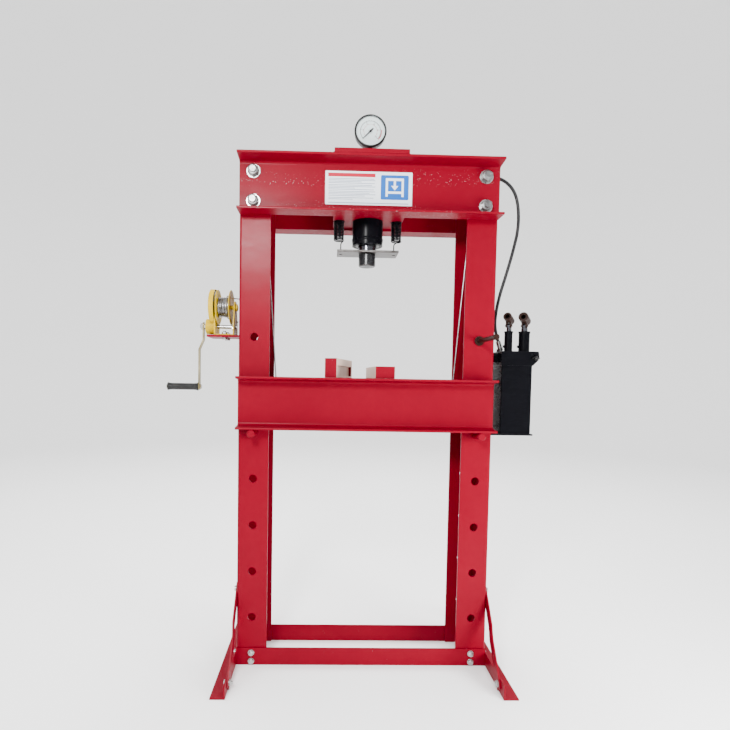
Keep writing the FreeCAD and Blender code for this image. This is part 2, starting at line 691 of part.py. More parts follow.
# ---- gauge ----------------------------------------------------------------------------------
gauge_front, gauge_back = "(gauge_y - gauge_deep / 2)", "(gauge_y + gauge_deep / 2)"
case = cut(
    rod("Y", "gauge_radius - 2", "gauge_deep - 8", "0", f"{gauge_front} + 8", "gauge_z"),
    rod("Y", "gauge_radius - 2 - gauge_wall", "gauge_deep - 8 - gauge_wall", "0", f"{gauge_front} + 8",
        "gauge_z"))
bezel = cut(
    rod("Y", "gauge_radius", "8", "0", gauge_front, "gauge_z"),
    rod("Y", "gauge_face_radius", "24", "0", f"{gauge_front} - 8", "gauge_z"))
stem_top = "gauge_z - gauge_radius + 4"
stem = fuse(
    rod("Z", "stem_radius", f"{stem_top} - crosshead_top", "0", "gauge_y", "crosshead_top"),
    rod("Z", "2 * stem_radius", "14", "0", "gauge_y", "crosshead_top + top_plate_thick"),
    hexagon("Z", "2.6 * stem_radius", "18", "0", "gauge_y", "crosshead_top + top_plate_thick + 22"))
stem = cut(stem, rod("Y", "gauge_radius - 2", "gauge_deep", "0", gauge_front, "gauge_z"))
piece("gauge_case", group(case, bezel, stem))
piece("gauge_dial", cut(
    rod("Y", "gauge_face_radius + 2", "1.5", "0", f"{gauge_front} + 8", "gauge_z"),
    rod("Y", "2 + running_gap", "9", "0", f"{gauge_front} + 4", "gauge_z")))
piece("gauge_glass", rod("Y", "gauge_face_radius", "2", "0", f"{gauge_front} + 1", "gauge_z"))
needle_y = f"({gauge_front} + 5.5)"
hub = fuse(
    rod("Y", "5", "1.5", "0", needle_y, "gauge_z"),
    rod("Y", "2", "8", "0", needle_y, "gauge_z"))
hand = padded("XZ_Plane", [("-3", "14"), ("3", "14"), ("1", "-40"), ("-1", "-40")], "1")
hand.Placement = Placement(Vector(), Rotation(Vector(0, 1, 0), 45))
at(hand, "0", f"{needle_y} + 1", "gauge_z")
piece("gauge_needle", fuse(hub, hand))

# ---- bed, pins and blocks -------------------------------------------------------------------
pin_z = ("(pin_hole_first + bed_pin_row * pin_hole_pitch - pin_hole_radius + bed_pin_radius + seat_gap)")
bed_low = f"({pin_z} + bed_pin_radius + seat_gap)"
bed_top = f"({bed_low} + bed_high)"
bed_face = "(column_depth / 2 + bed_gap)"
piece("bed_front", channel(-1, "bed_high", "bed_flange", "bed_web", bed_face, bed_top))
piece("bed_rear", channel(1, "bed_high", "bed_flange", "bed_web", bed_face, bed_top))
bed_pulley_z = f"({bed_low} + bed_pulley_rise)"
spacers = []
for side in (-1, 1):
    plate = box(f"{side} * spacer_x - spacer_thick / 2", f"-{bed_face}", f"{bed_low} + spacer_inset",
                "spacer_thick", f"2 * {bed_face}", "bed_high - 2 * spacer_inset")
    spacers.append(cut(plate, rod("X", "3 * rope_radius", "3 * spacer_thick",
                                  f"{side} * spacer_x - 1.5 * spacer_thick", "0",
                                  f"{bed_pulley_z} - rope_turn")))
    spacers.append(rod("Y", "pulley_axle_radius", f"2 * {bed_face}", f"{side} * bed_pulley_x",
                       f"-{bed_face}", bed_pulley_z))
piece("bed_spacers", group(*spacers))

for node, side in (("bed_pin_left", -1), ("bed_pin_right", 1)):
    x = f"{side} * {COLUMN_X}"
    half = "bed_pin_length / 2"
    piece(node, fuse(
        rod("Y", "bed_pin_radius", "bed_pin_length - 6", x, f"3 - {half}", pin_z),
        cone("Y", "bed_pin_radius - 3", "bed_pin_radius", "3", x, f"-{half}", pin_z),
        cone("Y", "bed_pin_radius", "bed_pin_radius - 3", "3", x, f"{half} - 3", pin_z)))


def block(turn, x, wide, high, recess=None):
    """A rectangular press block lying across the bed, turned about Z, with an optional long recess."""
    half_long, half_wide = "block_length / 2", f"({wide}) / 2"
    outline = [(f"-{half_wide}", f"-{half_long}"), (half_wide, f"-{half_long}"), (half_wide, half_long),
               (f"-{half_wide}", half_long)]
    body = padded("XY_Plane", outline, high)
    round_edges(body, "1.2", lambda e: True)
    doc.recompute()
    made = cut(body, box(*recess)) if recess else fuse(body, box("-1", "-1", "2", "2", "2", "2"))
    made.Placement = Placement(Vector(), Rotation(Vector(0, 0, 1), value(turn)))
    return at(made, x, "0", bed_top)


RECESS = ("block_thick / 2 - block_recess", "15 - block_length / 2", "6", "2 * block_recess",
          "block_length - 30", "block_wide * 0.55")
piece("block_left", block("block_turn_left", "block_x_left", "block_thick", "block_wide", RECESS))
piece("block_right", block("block_turn_right", "block_x_right", "block_wide", "block_thick"))

# ---- winch ----------------------------------------------------------------------------------
wall_x = "(-frame_width / 2)"
pinion_z = "(winch_z - gear_distance)"
right_plate = f"({wall_x} - bracket_gap)"
left_plate = f"({right_plate} - 2 * bracket_wall - bracket_inner)"
cover_x = f"({left_plate} - cover_deep)"
gear_x = f"({left_plate} - 3 - gear_face)"
lobe_x = f"({cover_x} - lobe_out)"
base_y = ("-bracket_wide / 2", "bracket_wide / 2")
piece("winch_shelf", cut(
    box(f"{wall_x} - shelf_long", "-shelf_wide / 2", "shelf_top - shelf_thick", "shelf_long", "shelf_wide",
        "shelf_thick"),
    *[rod("Z", "base_bolt_radius", "3 * shelf_thick", f"{wall_x} - shelf_long / 2", y,
          "shelf_top - 2 * shelf_thick") for y in ("-bracket_wide / 3", "bracket_wide / 3")]))
for y in ("-bracket_wide / 3", "bracket_wide / 3"):
    bolts.append(frame_bolt("Z", "shelf_top - shelf_thick", "shelf_top + bracket_wall",
                            f"{wall_x} - shelf_long / 2", y, "", True))
piece("frame_bolts", group(*bolts))


def side_plate(x):
    """One upright side of the winch's bracket."""
    outline = [
        (base_y[0], "shelf_top"), (base_y[1], "shelf_top"), (base_y[1], f"{pinion_z} + 10"),
        ("bracket_top_radius", "winch_z"), ("-bracket_top_radius", "winch_z"),
        (base_y[0], f"{pinion_z} + 10"),
    ]
    return fuse(padded("YZ_Plane", outline, "bracket_wall", x=x),
                rod("X", "bracket_top_radius", "bracket_wall", x, "0", "winch_z"))


bracket = fuse(side_plate(left_plate), side_plate(f"{right_plate} - bracket_wall"),
               box(left_plate, base_y[0], "shelf_top", f"{right_plate} - {left_plate}", "bracket_wide",
                   "bracket_wall"))
bracket_through = f"{right_plate} - {left_plate} + 20"
piece("winch_frame", cut(
    bracket,
    rod("X", "axle_radius + running_gap", bracket_through, f"{left_plate} - 10", "0", "winch_z"),
    rod("X", "shaft_radius + running_gap", bracket_through, f"{left_plate} - 10", "0", pinion_z),
    rod("X", "3 + running_gap", "20", f"{right_plate} - 10", "pawl_y", f"{pinion_z} + pawl_rise"),
    *[rod("Z", "base_bolt_radius", "20", f"{wall_x} - shelf_long / 2", y, "shelf_top - 8")
      for y in ("-bracket_wide / 3", "bracket_wide / 3")]))

axle_end = f"({right_plate} + 8)"
drum_right = f"({right_plate} - bracket_wall - ratchet_thick - 6)"
drum_left = f"({left_plate} + bracket_wall + 3)"
drum = fuse(
    rod("X", "axle_radius", f"{axle_end} - {gear_x}", gear_x, "0", "winch_z"),
    rod("X", "drum_core_radius", f"{drum_right} - {drum_left}", drum_left, "0", "winch_z"),
    rod("X", "drum_flange_radius", "drum_flange_thick", drum_left, "0", "winch_z"),
    rod("X", "drum_flange_radius", "drum_flange_thick", f"{drum_right} - drum_flange_thick", "0", "winch_z"),
    hexagon("X", "24", "6", f"{right_plate} + 0.5", "0", "winch_z"))
piece("winch_drum", drum)
rope_left, rope_right = f"({drum_left} + drum_flange_thick)", f"({drum_right} - drum_flange_thick)"
coils = [ring("X", "wound_radius - rope_radius", "rope_radius", f"{rope_left} + rope_radius * {2 * n + 1}",
              "0", "winch_z") for n in range(8)]
piece("wound_rope", cut(
    fuse(rod("X", "wound_radius - rope_radius", f"{rope_right} - {rope_left}", rope_left, "0", "winch_z"),
         *coils),
    rod("X", "drum_core_radius", f"{rope_right} - {rope_left} + 20", f"{rope_left} - 10", "0", "winch_z")))


def gear_shape(teeth, module, face, bore, phase):
    """A spur gear about X with straight-flanked teeth; phase turns it by a share of a tooth."""
    pitch_radius = teeth * module / 2
    tip, root = pitch_radius + 0.7 * module, pitch_radius - 1.1 * module
    step = 2 * math.pi / teeth
    corners = []
    for tooth in range(teeth):
        middle = (tooth + phase) * step
        for angle, radius in ((-0.26, root), (-0.12, tip), (0.12, tip), (0.26, root)):
            bearing = middle + angle * step
            corners.append(Vector(0, radius * math.cos(bearing), radius * math.sin(bearing)))
    corners.append(corners[0])
    blank = Part.Face(Part.makePolygon(corners)).extrude(Vector(face, 0, 0))
    return blank.cut(Part.makeCylinder(bore, 3 * face, Vector(-face, 0, 0), Vector(1, 0, 0)))


module, face = value("tooth_module"), value("gear_face")
wheel = doc.addObject("Part::Feature", "wheel")
teeth = int(value("gear_teeth"))
# a tooth of the wheel points straight down at the pinion
wheel.Shape = gear_shape(teeth, module, face, value("axle_radius"), -teeth / 4)
wheel.Placement = Placement(Vector(value(gear_x), 0, value("winch_z")), Rotation())
piece("drum_gear", wheel)
small = doc.addObject("Part::Feature", "pinion")
teeth = int(value("pinion_teeth"))
# a gap of the pinion points straight up at the wheel
small.Shape = gear_shape(teeth, module, face, value("shaft_radius") - 1, teeth / 4 + 0.5)
small.Placement = Placement(Vector(value(gear_x), 0, value(pinion_z)), Rotation())
crank_x = f"({lobe_x} - crank_gap)"
ratchet_x = f"({right_plate} - bracket_wall - 2 - ratchet_thick)"
ratchet = doc.addObject("Part::Feature", "ratchet")
RATCHET_TEETH = 12


def ratchet_shape(radius, thick):
    """A ratchet wheel about X with saw teeth."""
    corners = []
    for tooth in range(RATCHET_TEETH):
        start = 2 * math.pi * tooth / RATCHET_TEETH
        for angle, size in ((start, radius), (start + 0.02, radius * 0.8)):
            corners.append(Vector(0, size * math.cos(angle), size * math.sin(angle)))
    corners.append(corners[0])
    return Part.Face(Part.makePolygon(corners)).extrude(Vector(thick, 0, 0))


ratchet.Shape = ratchet_shape(value("ratchet_radius"), value("ratchet_thick"))
ratchet.Placement = Placement(Vector(value(ratchet_x), 0, value(pinion_z)), Rotation())
piece("pinion_shaft", fuse(
    small, ratchet,
    rod("X", "shaft_radius", f"{right_plate} + 5 - {crank_x} + 16", f"{crank_x} - 16", "0", pinion_z),
    rod("X", "shaft_radius + 3", "crank_gap - 1", crank_x, "0", pinion_z),
    hexagon("X", "22", "8", f"{crank_x} - crank_thick - 8", "0", pinion_z)))

pawl_z = f"({pinion_z} + pawl_rise)"
finger = padded("YZ_Plane", [("-6", "-3"), ("5", "-6"), ("7", "3"), ("0", "7"), ("-9", "2"), ("-16", "-7")],
                "ratchet_thick", x=ratchet_x, y="pawl_y", z=pawl_z)
piece("winch_pawl", fuse(
    finger,
    rod("X", "3", f"ratchet_thick + 2 + bracket_wall + 5", ratchet_x, "pawl_y", pawl_z)))

cover_outer = fuse(
    rod("X", "cover_radius", "cover_deep", cover_x, "0", "winch_z"),
    rod("X", "lobe_radius", "cover_deep + lobe_out", lobe_x, "0", pinion_z))
cover_inner = fuse(
    rod("X", "cover_radius - cover_wall", "cover_deep + 5", f"{cover_x} + cover_wall", "0",
        "winch_z"),
    rod("X", "lobe_radius - cover_wall", "cover_deep + lobe_out + 5", f"{lobe_x} + cover_wall", "0",
        pinion_z),
    rod("X", "shaft_radius + 1", "cover_deep + lobe_out + 5", f"{lobe_x} - 5", "0", pinion_z))
piece("gear_cover", cut(cover_outer, cover_inner))

# the crank arm's side outline, from above the shaft down to the grip, then out to the left
arm_high, arm_low = f"{pinion_z} + 17", f"{pinion_z} - crank_throw - 12"
bend_high, bend_low = f"{pinion_z} - 50", f"{pinion_z} - 88"
outer_arm = f"({crank_x} - crank_jog)"
arm = padded("XZ_Plane", [
    (crank_x, arm_high), (f"{crank_x} - crank_thick", arm_high), (f"{crank_x} - crank_thick", bend_high),
    (f"{outer_arm} - crank_thick", bend_low), (f"{outer_arm} - crank_thick", arm_low),
    (outer_arm, arm_low), (outer_arm, bend_low), (crank_x, bend_high)],
    "crank_wide", y="crank_wide / 2")
round_edges(arm, "crank_wide / 2 - 1", lambda e: along(e, "x") and e.Length < value("crank_thick") + 0.01)
grip_z = f"({pinion_z} - crank_throw)"
grip_start = f"({outer_arm} - crank_thick - 1 - grip_length)"
spindle = fuse(
    rod("X", "spindle_radius", f"grip_length + crank_thick + 8", f"{grip_start} - 2", "0", grip_z),
    rod("X", "spindle_radius + 3", "2", f"{grip_start} - 3", "0", grip_z),
    rod("X", "spindle_radius + 3", "5", outer_arm, "0", grip_z))
piece("crank_arm", fuse(
    cut(arm, rod("X", "shaft_radius", "100", f"{crank_x} - 50", "0", pinion_z)), spindle))
FLARE = "9"
grip = fuse(
    rod("X", "grip_radius", f"grip_length - 2 * {FLARE}", f"{grip_start} + {FLARE}", "0", grip_z),
    cone("X", "grip_flare", "grip_radius", FLARE, grip_start, "0", grip_z),
    cone("X", "grip_radius", "grip_flare", FLARE, f"{grip_start} + grip_length - {FLARE}", "0", grip_z))
piece("crank_grip", cut(grip, rod("X", "spindle_radius + running_gap", "grip_length + 20",
                                  f"{grip_start} - 10", "0", grip_z)))


# ---- pulleys and the lifting rope -----------------------------------------------------------
def pulley(x, z):
    """A grooved pulley about Y on a running bore."""
    half, mouth = "pulley_thick / 2", "(rope_radius + soft_gap + 0.2)"
    groove = ring("Y", "rope_turn", "rope_radius + soft_gap", x, "0", z)
    open_side = cut(rod("Y", "pulley_radius + 2", f"2 * {mouth}", x, f"-{mouth}", z),
                    rod("Y", "rope_turn", f"4 * {mouth}", x, f"-2 * {mouth}", z))
    wheel_body = rod("Y", "pulley_radius", "pulley_thick", x, f"-{half}", z)
    return cut(wheel_body, groove, open_side,
               rod("Y", "pulley_axle_radius + running_gap", "3 * pulley_thick", x, "-1.5 * pulley_thick", z))


piece("pulley_top", pulley(f"-{COLUMN_X}", "top_pulley_z"))
piece("pulley_bed_left", pulley("-bed_pulley_x", bed_pulley_z))
piece("pulley_bed_right", pulley("bed_pulley_x", bed_pulley_z))


def cord_wire(points, share=0.45):
    """Straight runs joined by tangent arcs; each arc's tangent length is a share of its shorter run.

    Returns the wire and its smallest arc radius.
    """
    edges, start, radii = [], points[0], []
    for before, corner, after in zip(points, points[1:], points[2:]):
        back, on = before - corner, after - corner
        reach = share * min(back.Length, on.Length)
        turn = math.pi - back.getAngle(on)
        radii.append(reach / math.tan(turn / 2))
        enter, leave = corner + back.normalize() * reach, corner + on.normalize() * reach
        middle = (enter + leave) * 0.5
        inward = (middle - corner).normalize()
        centre = corner + inward * (radii[-1] / math.cos(turn / 2))
        top = centre - inward * radii[-1]
        edges += [Part.LineSegment(start, enter).toShape(), Part.Arc(enter, top, leave).toShape()]
        start = leave
    edges.append(Part.LineSegment(start, points[-1]).toShape())
    return Part.Wire(edges), radii


def tube(name, wire, radius):
    """A round solid along a wire, compared with its section times its length."""
    first = wire.Edges[0]
    start = first.valueAt(first.FirstParameter)
    ahead = first.tangentAt(first.FirstParameter)
    section = Part.Wire(Part.Circle(start, ahead, radius).toShape())
    solid = wire.makePipeShell([section], True, False)
    ideal = math.pi * radius ** 2 * wire.Length
    print(f"{name}: length {wire.Length:.1f}, volume over section times length {solid.Volume / ideal:.4f}")
    made = doc.addObject("Part::Feature", name)
    made.Shape = solid
    return made


rope_size = value("rope_radius")
pulley_x, pulley_z = -value(COLUMN_X), value("top_pulley_z")
turn_radius = value("rope_turn")
bed_x, low_z = value("bed_pulley_x"), value(bed_pulley_z)
clear = value("soft_gap")
fall_top_x = pulley_x + turn_radius
fall_low_x = -bed_x - turn_radius
# the two falls: straight from the bed's pulleys to the top pulley and to the anchor pin
fall_left = tube("fall_left", Part.Wire([Part.LineSegment(
    Vector(fall_low_x, 0, low_z), Vector(fall_top_x, 0, pulley_z)).toShape()]), rope_size)
anchor = Vector(value("anchor_x") - 4, 0, pulley_z - value("pulley_axle_radius") - clear)
fall_right = tube("fall_right", Part.Wire([Part.LineSegment(
    Vector(-fall_low_x, 0, low_z), anchor).toShape()]), rope_size)
piece("rope_falls", group(fall_left, fall_right))
# under the bed's pulleys: a quarter turn, a straight run and another quarter turn
corner = turn_radius * math.sqrt(0.5)
low_run = low_z - turn_radius
run_wire = Part.Wire([
    Part.Arc(Vector(-bed_x - turn_radius, 0, low_z - clear), Vector(-bed_x - corner, 0, low_z - corner),
             Vector(-bed_x, 0, low_run)).toShape(),
    Part.LineSegment(Vector(-bed_x, 0, low_run), Vector(bed_x, 0, low_run)).toShape(),
    Part.Arc(Vector(bed_x, 0, low_run), Vector(bed_x + corner, 0, low_z - corner),
             Vector(bed_x + turn_radius, 0, low_z - clear)).toShape()])
piece("rope_bed_run", tube("rope_bed_run", run_wire, rope_size))
# from the drum through the fairlead hole, up inside the column and over the top pulley
drum_mid = value(f"({rope_left} + {rope_right}) / 2 + 12")
lead_z = value("winch_z + wound_radius + rope_radius + soft_gap")
hole_y = value("fairlead_y")
lead_points = [
    Vector(drum_mid, 0, lead_z), Vector(drum_mid, 50, lead_z + 1), Vector(drum_mid + 20, hole_y - 1, lead_z),
    Vector(value("-frame_width / 2 + column_wall") + 12, hole_y, lead_z),
    Vector(pulley_x - turn_radius, hole_y - 8, lead_z + 30),
    Vector(pulley_x - turn_radius - 0.5, hole_y / 2, lead_z + 110),
    Vector(pulley_x - turn_radius, 0, lead_z + 200), Vector(pulley_x - turn_radius, 0, pulley_z)]
lead_wire, lead_radii = cord_wire(lead_points)
over = Part.Arc(Vector(pulley_x - turn_radius, 0, pulley_z), Vector(pulley_x, 0, pulley_z + turn_radius),
                Vector(pulley_x + turn_radius, 0, pulley_z + clear)).toShape()
lead_wire = Part.Wire(lead_wire.Edges + [over])
piece("rope_lead", tube("rope_lead", lead_wire, rope_size))

# ---- hand pump ------------------------------------------------------------------------------
tank_x = "(frame_width / 2 + tank_gap)"
tank_top = "(tank_bottom + tank_high)"
head_top = f"({tank_top} + head_high)"
tank_body = padded("XY_Plane", [
    (tank_x, "tank_front"), (f"{tank_x} + tank_width", "tank_front"),
    (f"{tank_x} + tank_width", "tank_front + tank_deep"), (tank_x, "tank_front + tank_deep")],
    "tank_high", z="tank_bottom")
round_edges(tank_body, "5", lambda e: along(e, "z"))
hollow = box(f"{tank_x} + 3", "tank_front + 3", "tank_bottom + 3", "tank_width - 6", "tank_deep - 6",
             "tank_high")
piece("pump_tank", cut(tank_body, hollow))
head_right = f"({tank_x} + tank_width + head_over)"
head_body = padded("XZ_Plane", [
    (f"{tank_x} - 3", tank_top), (f"{tank_x} + tank_width", tank_top),
    (f"{head_right} - 4", f"{tank_top} + 20"),
    (head_right, f"{tank_top} + 32"), (f"{head_right} - 3", head_top), (f"{tank_x} - 3", head_top)],
    "tank_deep + 8", y="tank_front + tank_deep + 4")
round_edges(head_body, "4", lambda e: along(e, "y"))
small_x, large_x = f"({tank_x} + plunger_x_small)", f"({tank_x} + plunger_x_large)"
valve_x, valve_z = f"({head_right} - 16)", f"({head_top} - 26)"
head_front = "(tank_front - 4)"
# the hose's elbow screws into the head, leaning towards the column
lean = Rotation(Vector(0, 1, 0), -value("hose_lean"))
foot_x, foot_z = f"({tank_x} + 24)", f"({head_top} - 3)"
hose_seat = rod("Z", "fitting_radius * 0.75", "20", "0", "0", "0")
hose_seat.Placement = Placement(Vector(), lean)
at(hose_seat, foot_x, "5", foot_z)
head_tools = [
    hose_seat,
    rod("Z", "plunger_small + running_gap", "2 * plunger_foot", small_x, "plunger_y",
        f"{head_top} - plunger_foot"),
    rod("Z", "plunger_large + running_gap", "2 * plunger_foot", large_x, "plunger_y",
        f"{head_top} - plunger_foot"),
    rod("Y", "5 + running_gap", "30", valve_x, f"{head_front} - 5", valve_z)]
head_screws = [rod("Y", "3", "2.5", f"{valve_x} + {dx}", f"{head_front} - 2.5", f"{valve_z} + {dz}")
               for dx, dz in (("-13", "9"), ("-2", "15"), ("-15", "-8"))]
filler = fuse(rod("Z", "9", "5", f"{tank_x} + 20", "tank_front + tank_deep - 14", head_top),
              hexagon("Z", "14", "7", f"{tank_x} + 20", "tank_front + tank_deep - 14", f"{head_top} + 5"))
piece("pump_head", group(cut(head_body, *head_tools), filler, *head_screws))
piece("release_valve", fuse(
    rod("Y", "5", "34", valve_x, f"{head_front} - 12", valve_z),
    rod("Y", "8", "10", valve_x, f"{head_front} - 14", valve_z),
    box(f"{valve_x} - 13", f"{head_front} - 12", f"{valve_z} - 2.5", "26", "5", "5")))
shelf_low = "tank_bottom - pump_shelf_thick"
piece("pump_shelf", group(
    fuse(box("frame_width / 2", "tank_front - 3", shelf_low, "tank_gap + tank_width + 8", "tank_deep + 6",
             "pump_shelf_thick"),
         box("frame_width / 2", "-column_depth / 3", shelf_low, "pump_shelf_thick", "column_depth * 0.5",
             "80")),
    box("frame_width / 2", "-column_depth / 4", f"{tank_top} + 12", "tank_gap - 3", "column_depth / 3",
        "34")))


def barrel(radius, bore, x):
    """A pump barrel on the head with a collar and a small plug on its left side."""
    body = fuse(
        rod("Z", radius, "barrel_high", x, "plunger_y", head_top),
        rod("Z", f"{radius} + 1.5", "6", x, "plunger_y", f"{head_top} + barrel_high - 6"),
        rod("X", "5", f"{radius} + 5", f"{x} - {radius} - 5", "plunger_y", f"{head_top} + 20"))
    return cut(body, rod("Z", f"{bore} + running_gap", "barrel_high + 20", x, "plunger_y",
                         f"{head_top} - 10"))


piece("pump_barrels", group(barrel("barrel_small", "plunger_small", small_x),
                            barrel("barrel_large", "plunger_large", large_x)))

pivot_z = f"({head_top} + pivot_rise)"


def turned(obj, x):
    """Turn a piece, modelled at the origin pivot, to face the operator's left, and set it on its plunger."""
    obj.Placement = Placement(Vector(), Rotation(Vector(0, 0, 1), value("socket_turn")))
    return at(obj, x, "plunger_y", pivot_z)


def plunger(radius, x):
    """A plunger with a flat eye for the socket's pin."""
    shank_low = f"plunger_foot - pivot_rise"
    shank = rod("Z", radius, f"pivot_rise - plunger_foot - 9", "0", "0", shank_low)
    eye = fuse(box("-eye_thick / 2", "-7", "-12", "eye_thick", "14", "12"),
               rod("X", "7", "eye_thick", "-eye_thick / 2", "0", "0"))
    return turned(cut(fuse(shank, eye), rod("X", "pivot_radius + running_gap", "60", "-30", "0", "0")), x)


piece("plunger_small", plunger("plunger_small", small_x))
piece("plunger_large", plunger("plunger_large", large_x))


def socket(radius, x):
    """A lever socket: a tube over a two-lug clevis with its pin and a rear lug for the fulcrum link."""
    lug_in = "(eye_thick / 2 + lug_gap)"
    tube_body = rod("Y", radius, "socket_length", "0", "-socket_length / 2", "0")
    doc.recompute()
    tilt = Rotation(Vector(1, 0, 0), value("socket_tilt"))
    tube_body.Placement = Placement(Vector(), tilt.multiply(ALONG["Y"]))
    rise, run = "(socket_length / 2 * sin(-socket_tilt))", "(socket_length / 2 * cos(socket_tilt))"
    at(tube_body, "0", f"-{run}", f"socket_rise + {rise}")
    bore = rod("Y", "socket_bore", "socket_length", "0", "0", "0")
    bore.Placement = Placement(Vector(), tilt.multiply(ALONG["Y"]))
    at(bore, "0", f"-{run} * 1.3", f"socket_rise + {rise} * 1.3")
    lugs = []
    for start in (lug_in, f"-{lug_in} - lug_thick"):
        lugs.append(box(start, "-8", "0", "lug_thick", "16", "socket_rise"))
        lugs.append(rod("X", "8", "lug_thick", start, "0", "0"))
    pin = rod("X", "pivot_radius", f"2 * ({lug_in} + lug_thick + 3)", f"-{lug_in} - lug_thick - 3", "0", "0")
    solid_top = rod("Y", f"{lug_in} + lug_thick", "16", "0", "-8", "socket_rise")
    return turned(cut(fuse(tube_body, solid_top, pin, *lugs), bore), x)


piece("socket_small", socket("socket_small", small_x))
piece("socket_large", socket("socket_large", large_x))


def fulcrum_link(x):
    """A strap from the head up to the back of a socket."""
    strap = fuse(box("-3", "link_back - 6", "-pivot_rise", "6", "12", "pivot_rise - 6"),
                 rod("X", "6", "6", "-3", "link_back", "-6"))
    return turned(strap, x)


piece("pump_links", group(fulcrum_link(small_x), fulcrum_link(large_x)))

# ---- the pump's lever, kept in the right column's pin hole ----------------------------------
lever_z = "(pin_hole_first + lever_row * pin_hole_pitch - pin_hole_radius + lever_bush + seat_gap)"
front_face, rear_face = "(-column_depth / 2)", "(column_depth / 2)"
lever_x = COLUMN_X
piece("pump_lever", fuse(
    rod("Y", "lever_radius", "lever_front + column_depth + lever_back", lever_x,
        f"{front_face} - lever_front", lever_z),
    rod("Y", "lever_bush", "column_wall + 6", lever_x, front_face, lever_z),
    rod("Y", "lever_bush + 3.5", "6", lever_x, f"{front_face} - 6", lever_z),
    rod("Y", "lever_bush", "column_wall + 6", lever_x, f"{rear_face} - column_wall - 6", lever_z),
    rod("Y", "lever_radius + 1.8", "9", lever_x, f"{front_face} - lever_front", lever_z)))

# ---- hose and its fittings ------------------------------------------------------------------
axis_up = lean.multVec(Vector(0, 0, 1))
fitting_foot = Vector(value(foot_x), 5, value(foot_z))
hose_end = fitting_foot + axis_up * 47


def fitting(start, direction, nut_at, length):
    """A hose end: a threaded stub, a hexagon nut and a crimped ferrule, along a direction."""
    size = value("fitting_radius")
    stub = Part.makeCylinder(size * 0.75, nut_at + 2, start, direction)
    swivel = Part.makeCylinder(size * 1.05, 12, start + direction * nut_at, direction)
    sides = [Vector(math.cos(math.radians(60 * k)), math.sin(math.radians(60 * k)), 0) * size * 1.3
             for k in range(6)]
    nut = Part.Face(Part.makePolygon(sides + [sides[0]])).extrude(Vector(0, 0, 10))
    nut.Placement = Placement(start + direction * (nut_at + 1), Rotation(Vector(0, 0, 1), direction))
    ferrule = Part.makeCylinder(size, length - nut_at - 12, start + direction * (nut_at + 12), direction)
    made = doc.addObject("Part::Feature", "fitting")
    made.Shape = stub.multiFuse([swivel, nut, ferrule]).removeSplitter()
    return made


port = Vector(value("cylinder_radius"), 0, value("port_z"))
piece("hose_fittings", group(fitting(port, Vector(1, 0, 0), 8, 44),
                             fitting(fitting_foot, axis_up, 8, 47)))
port_end = port + Vector(44, 0, 0)
hose_points = [
    port_end, Vector(178, 0, 1845), Vector(276, -4, 1852), Vector(376, 4, 1863), Vector(462, -2, 1876),
    Vector(524, 0, 1862), Vector(565, -2, 1819), Vector(582, 0, 1756), Vector(581, -6, 1674),
    Vector(562, -10, 1590), Vector(538, -12, 1500), Vector(515, -9, 1420), Vector(504, -1, 1346),
    hose_end + axis_up * 46, hose_end]
hose_wire, hose_radii = cord_wire(hose_points)
print("hose arc radii", [round(r) for r in hose_radii], "rope lead radii", [round(r) for r in lead_radii])
piece("hydraulic_hose", tube("hydraulic_hose", hose_wire, value("hose_radius")))

# ---- write the parts ------------------------------------------------------------------------
doc.recompute()
for obj in doc.Objects:
    if "Invalid" in obj.State or "Error" in obj.State:
        raise RuntimeError(f"{obj.Name} ({obj.Label}) failed: {obj.State} {obj.ExpressionEngine}")
os.makedirs("parts", exist_ok=True)
for node, obj in PIECES:
    shape = obj.Shape
    if shape.isNull() or not shape.isValid() or not shape.Solids:
        raise RuntimeError(f"{node} has no valid solid")
    shape.exportStep(f"parts/{node}.step")
print(len(PIECES), "sub-parts written")
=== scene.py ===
"""Surfaces, finishes, light and camera for a hydraulic shop press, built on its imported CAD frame.

Metres, +Z up, +X to the operator's right, -Y towards the operator, origin on the floor under the ram.
"""

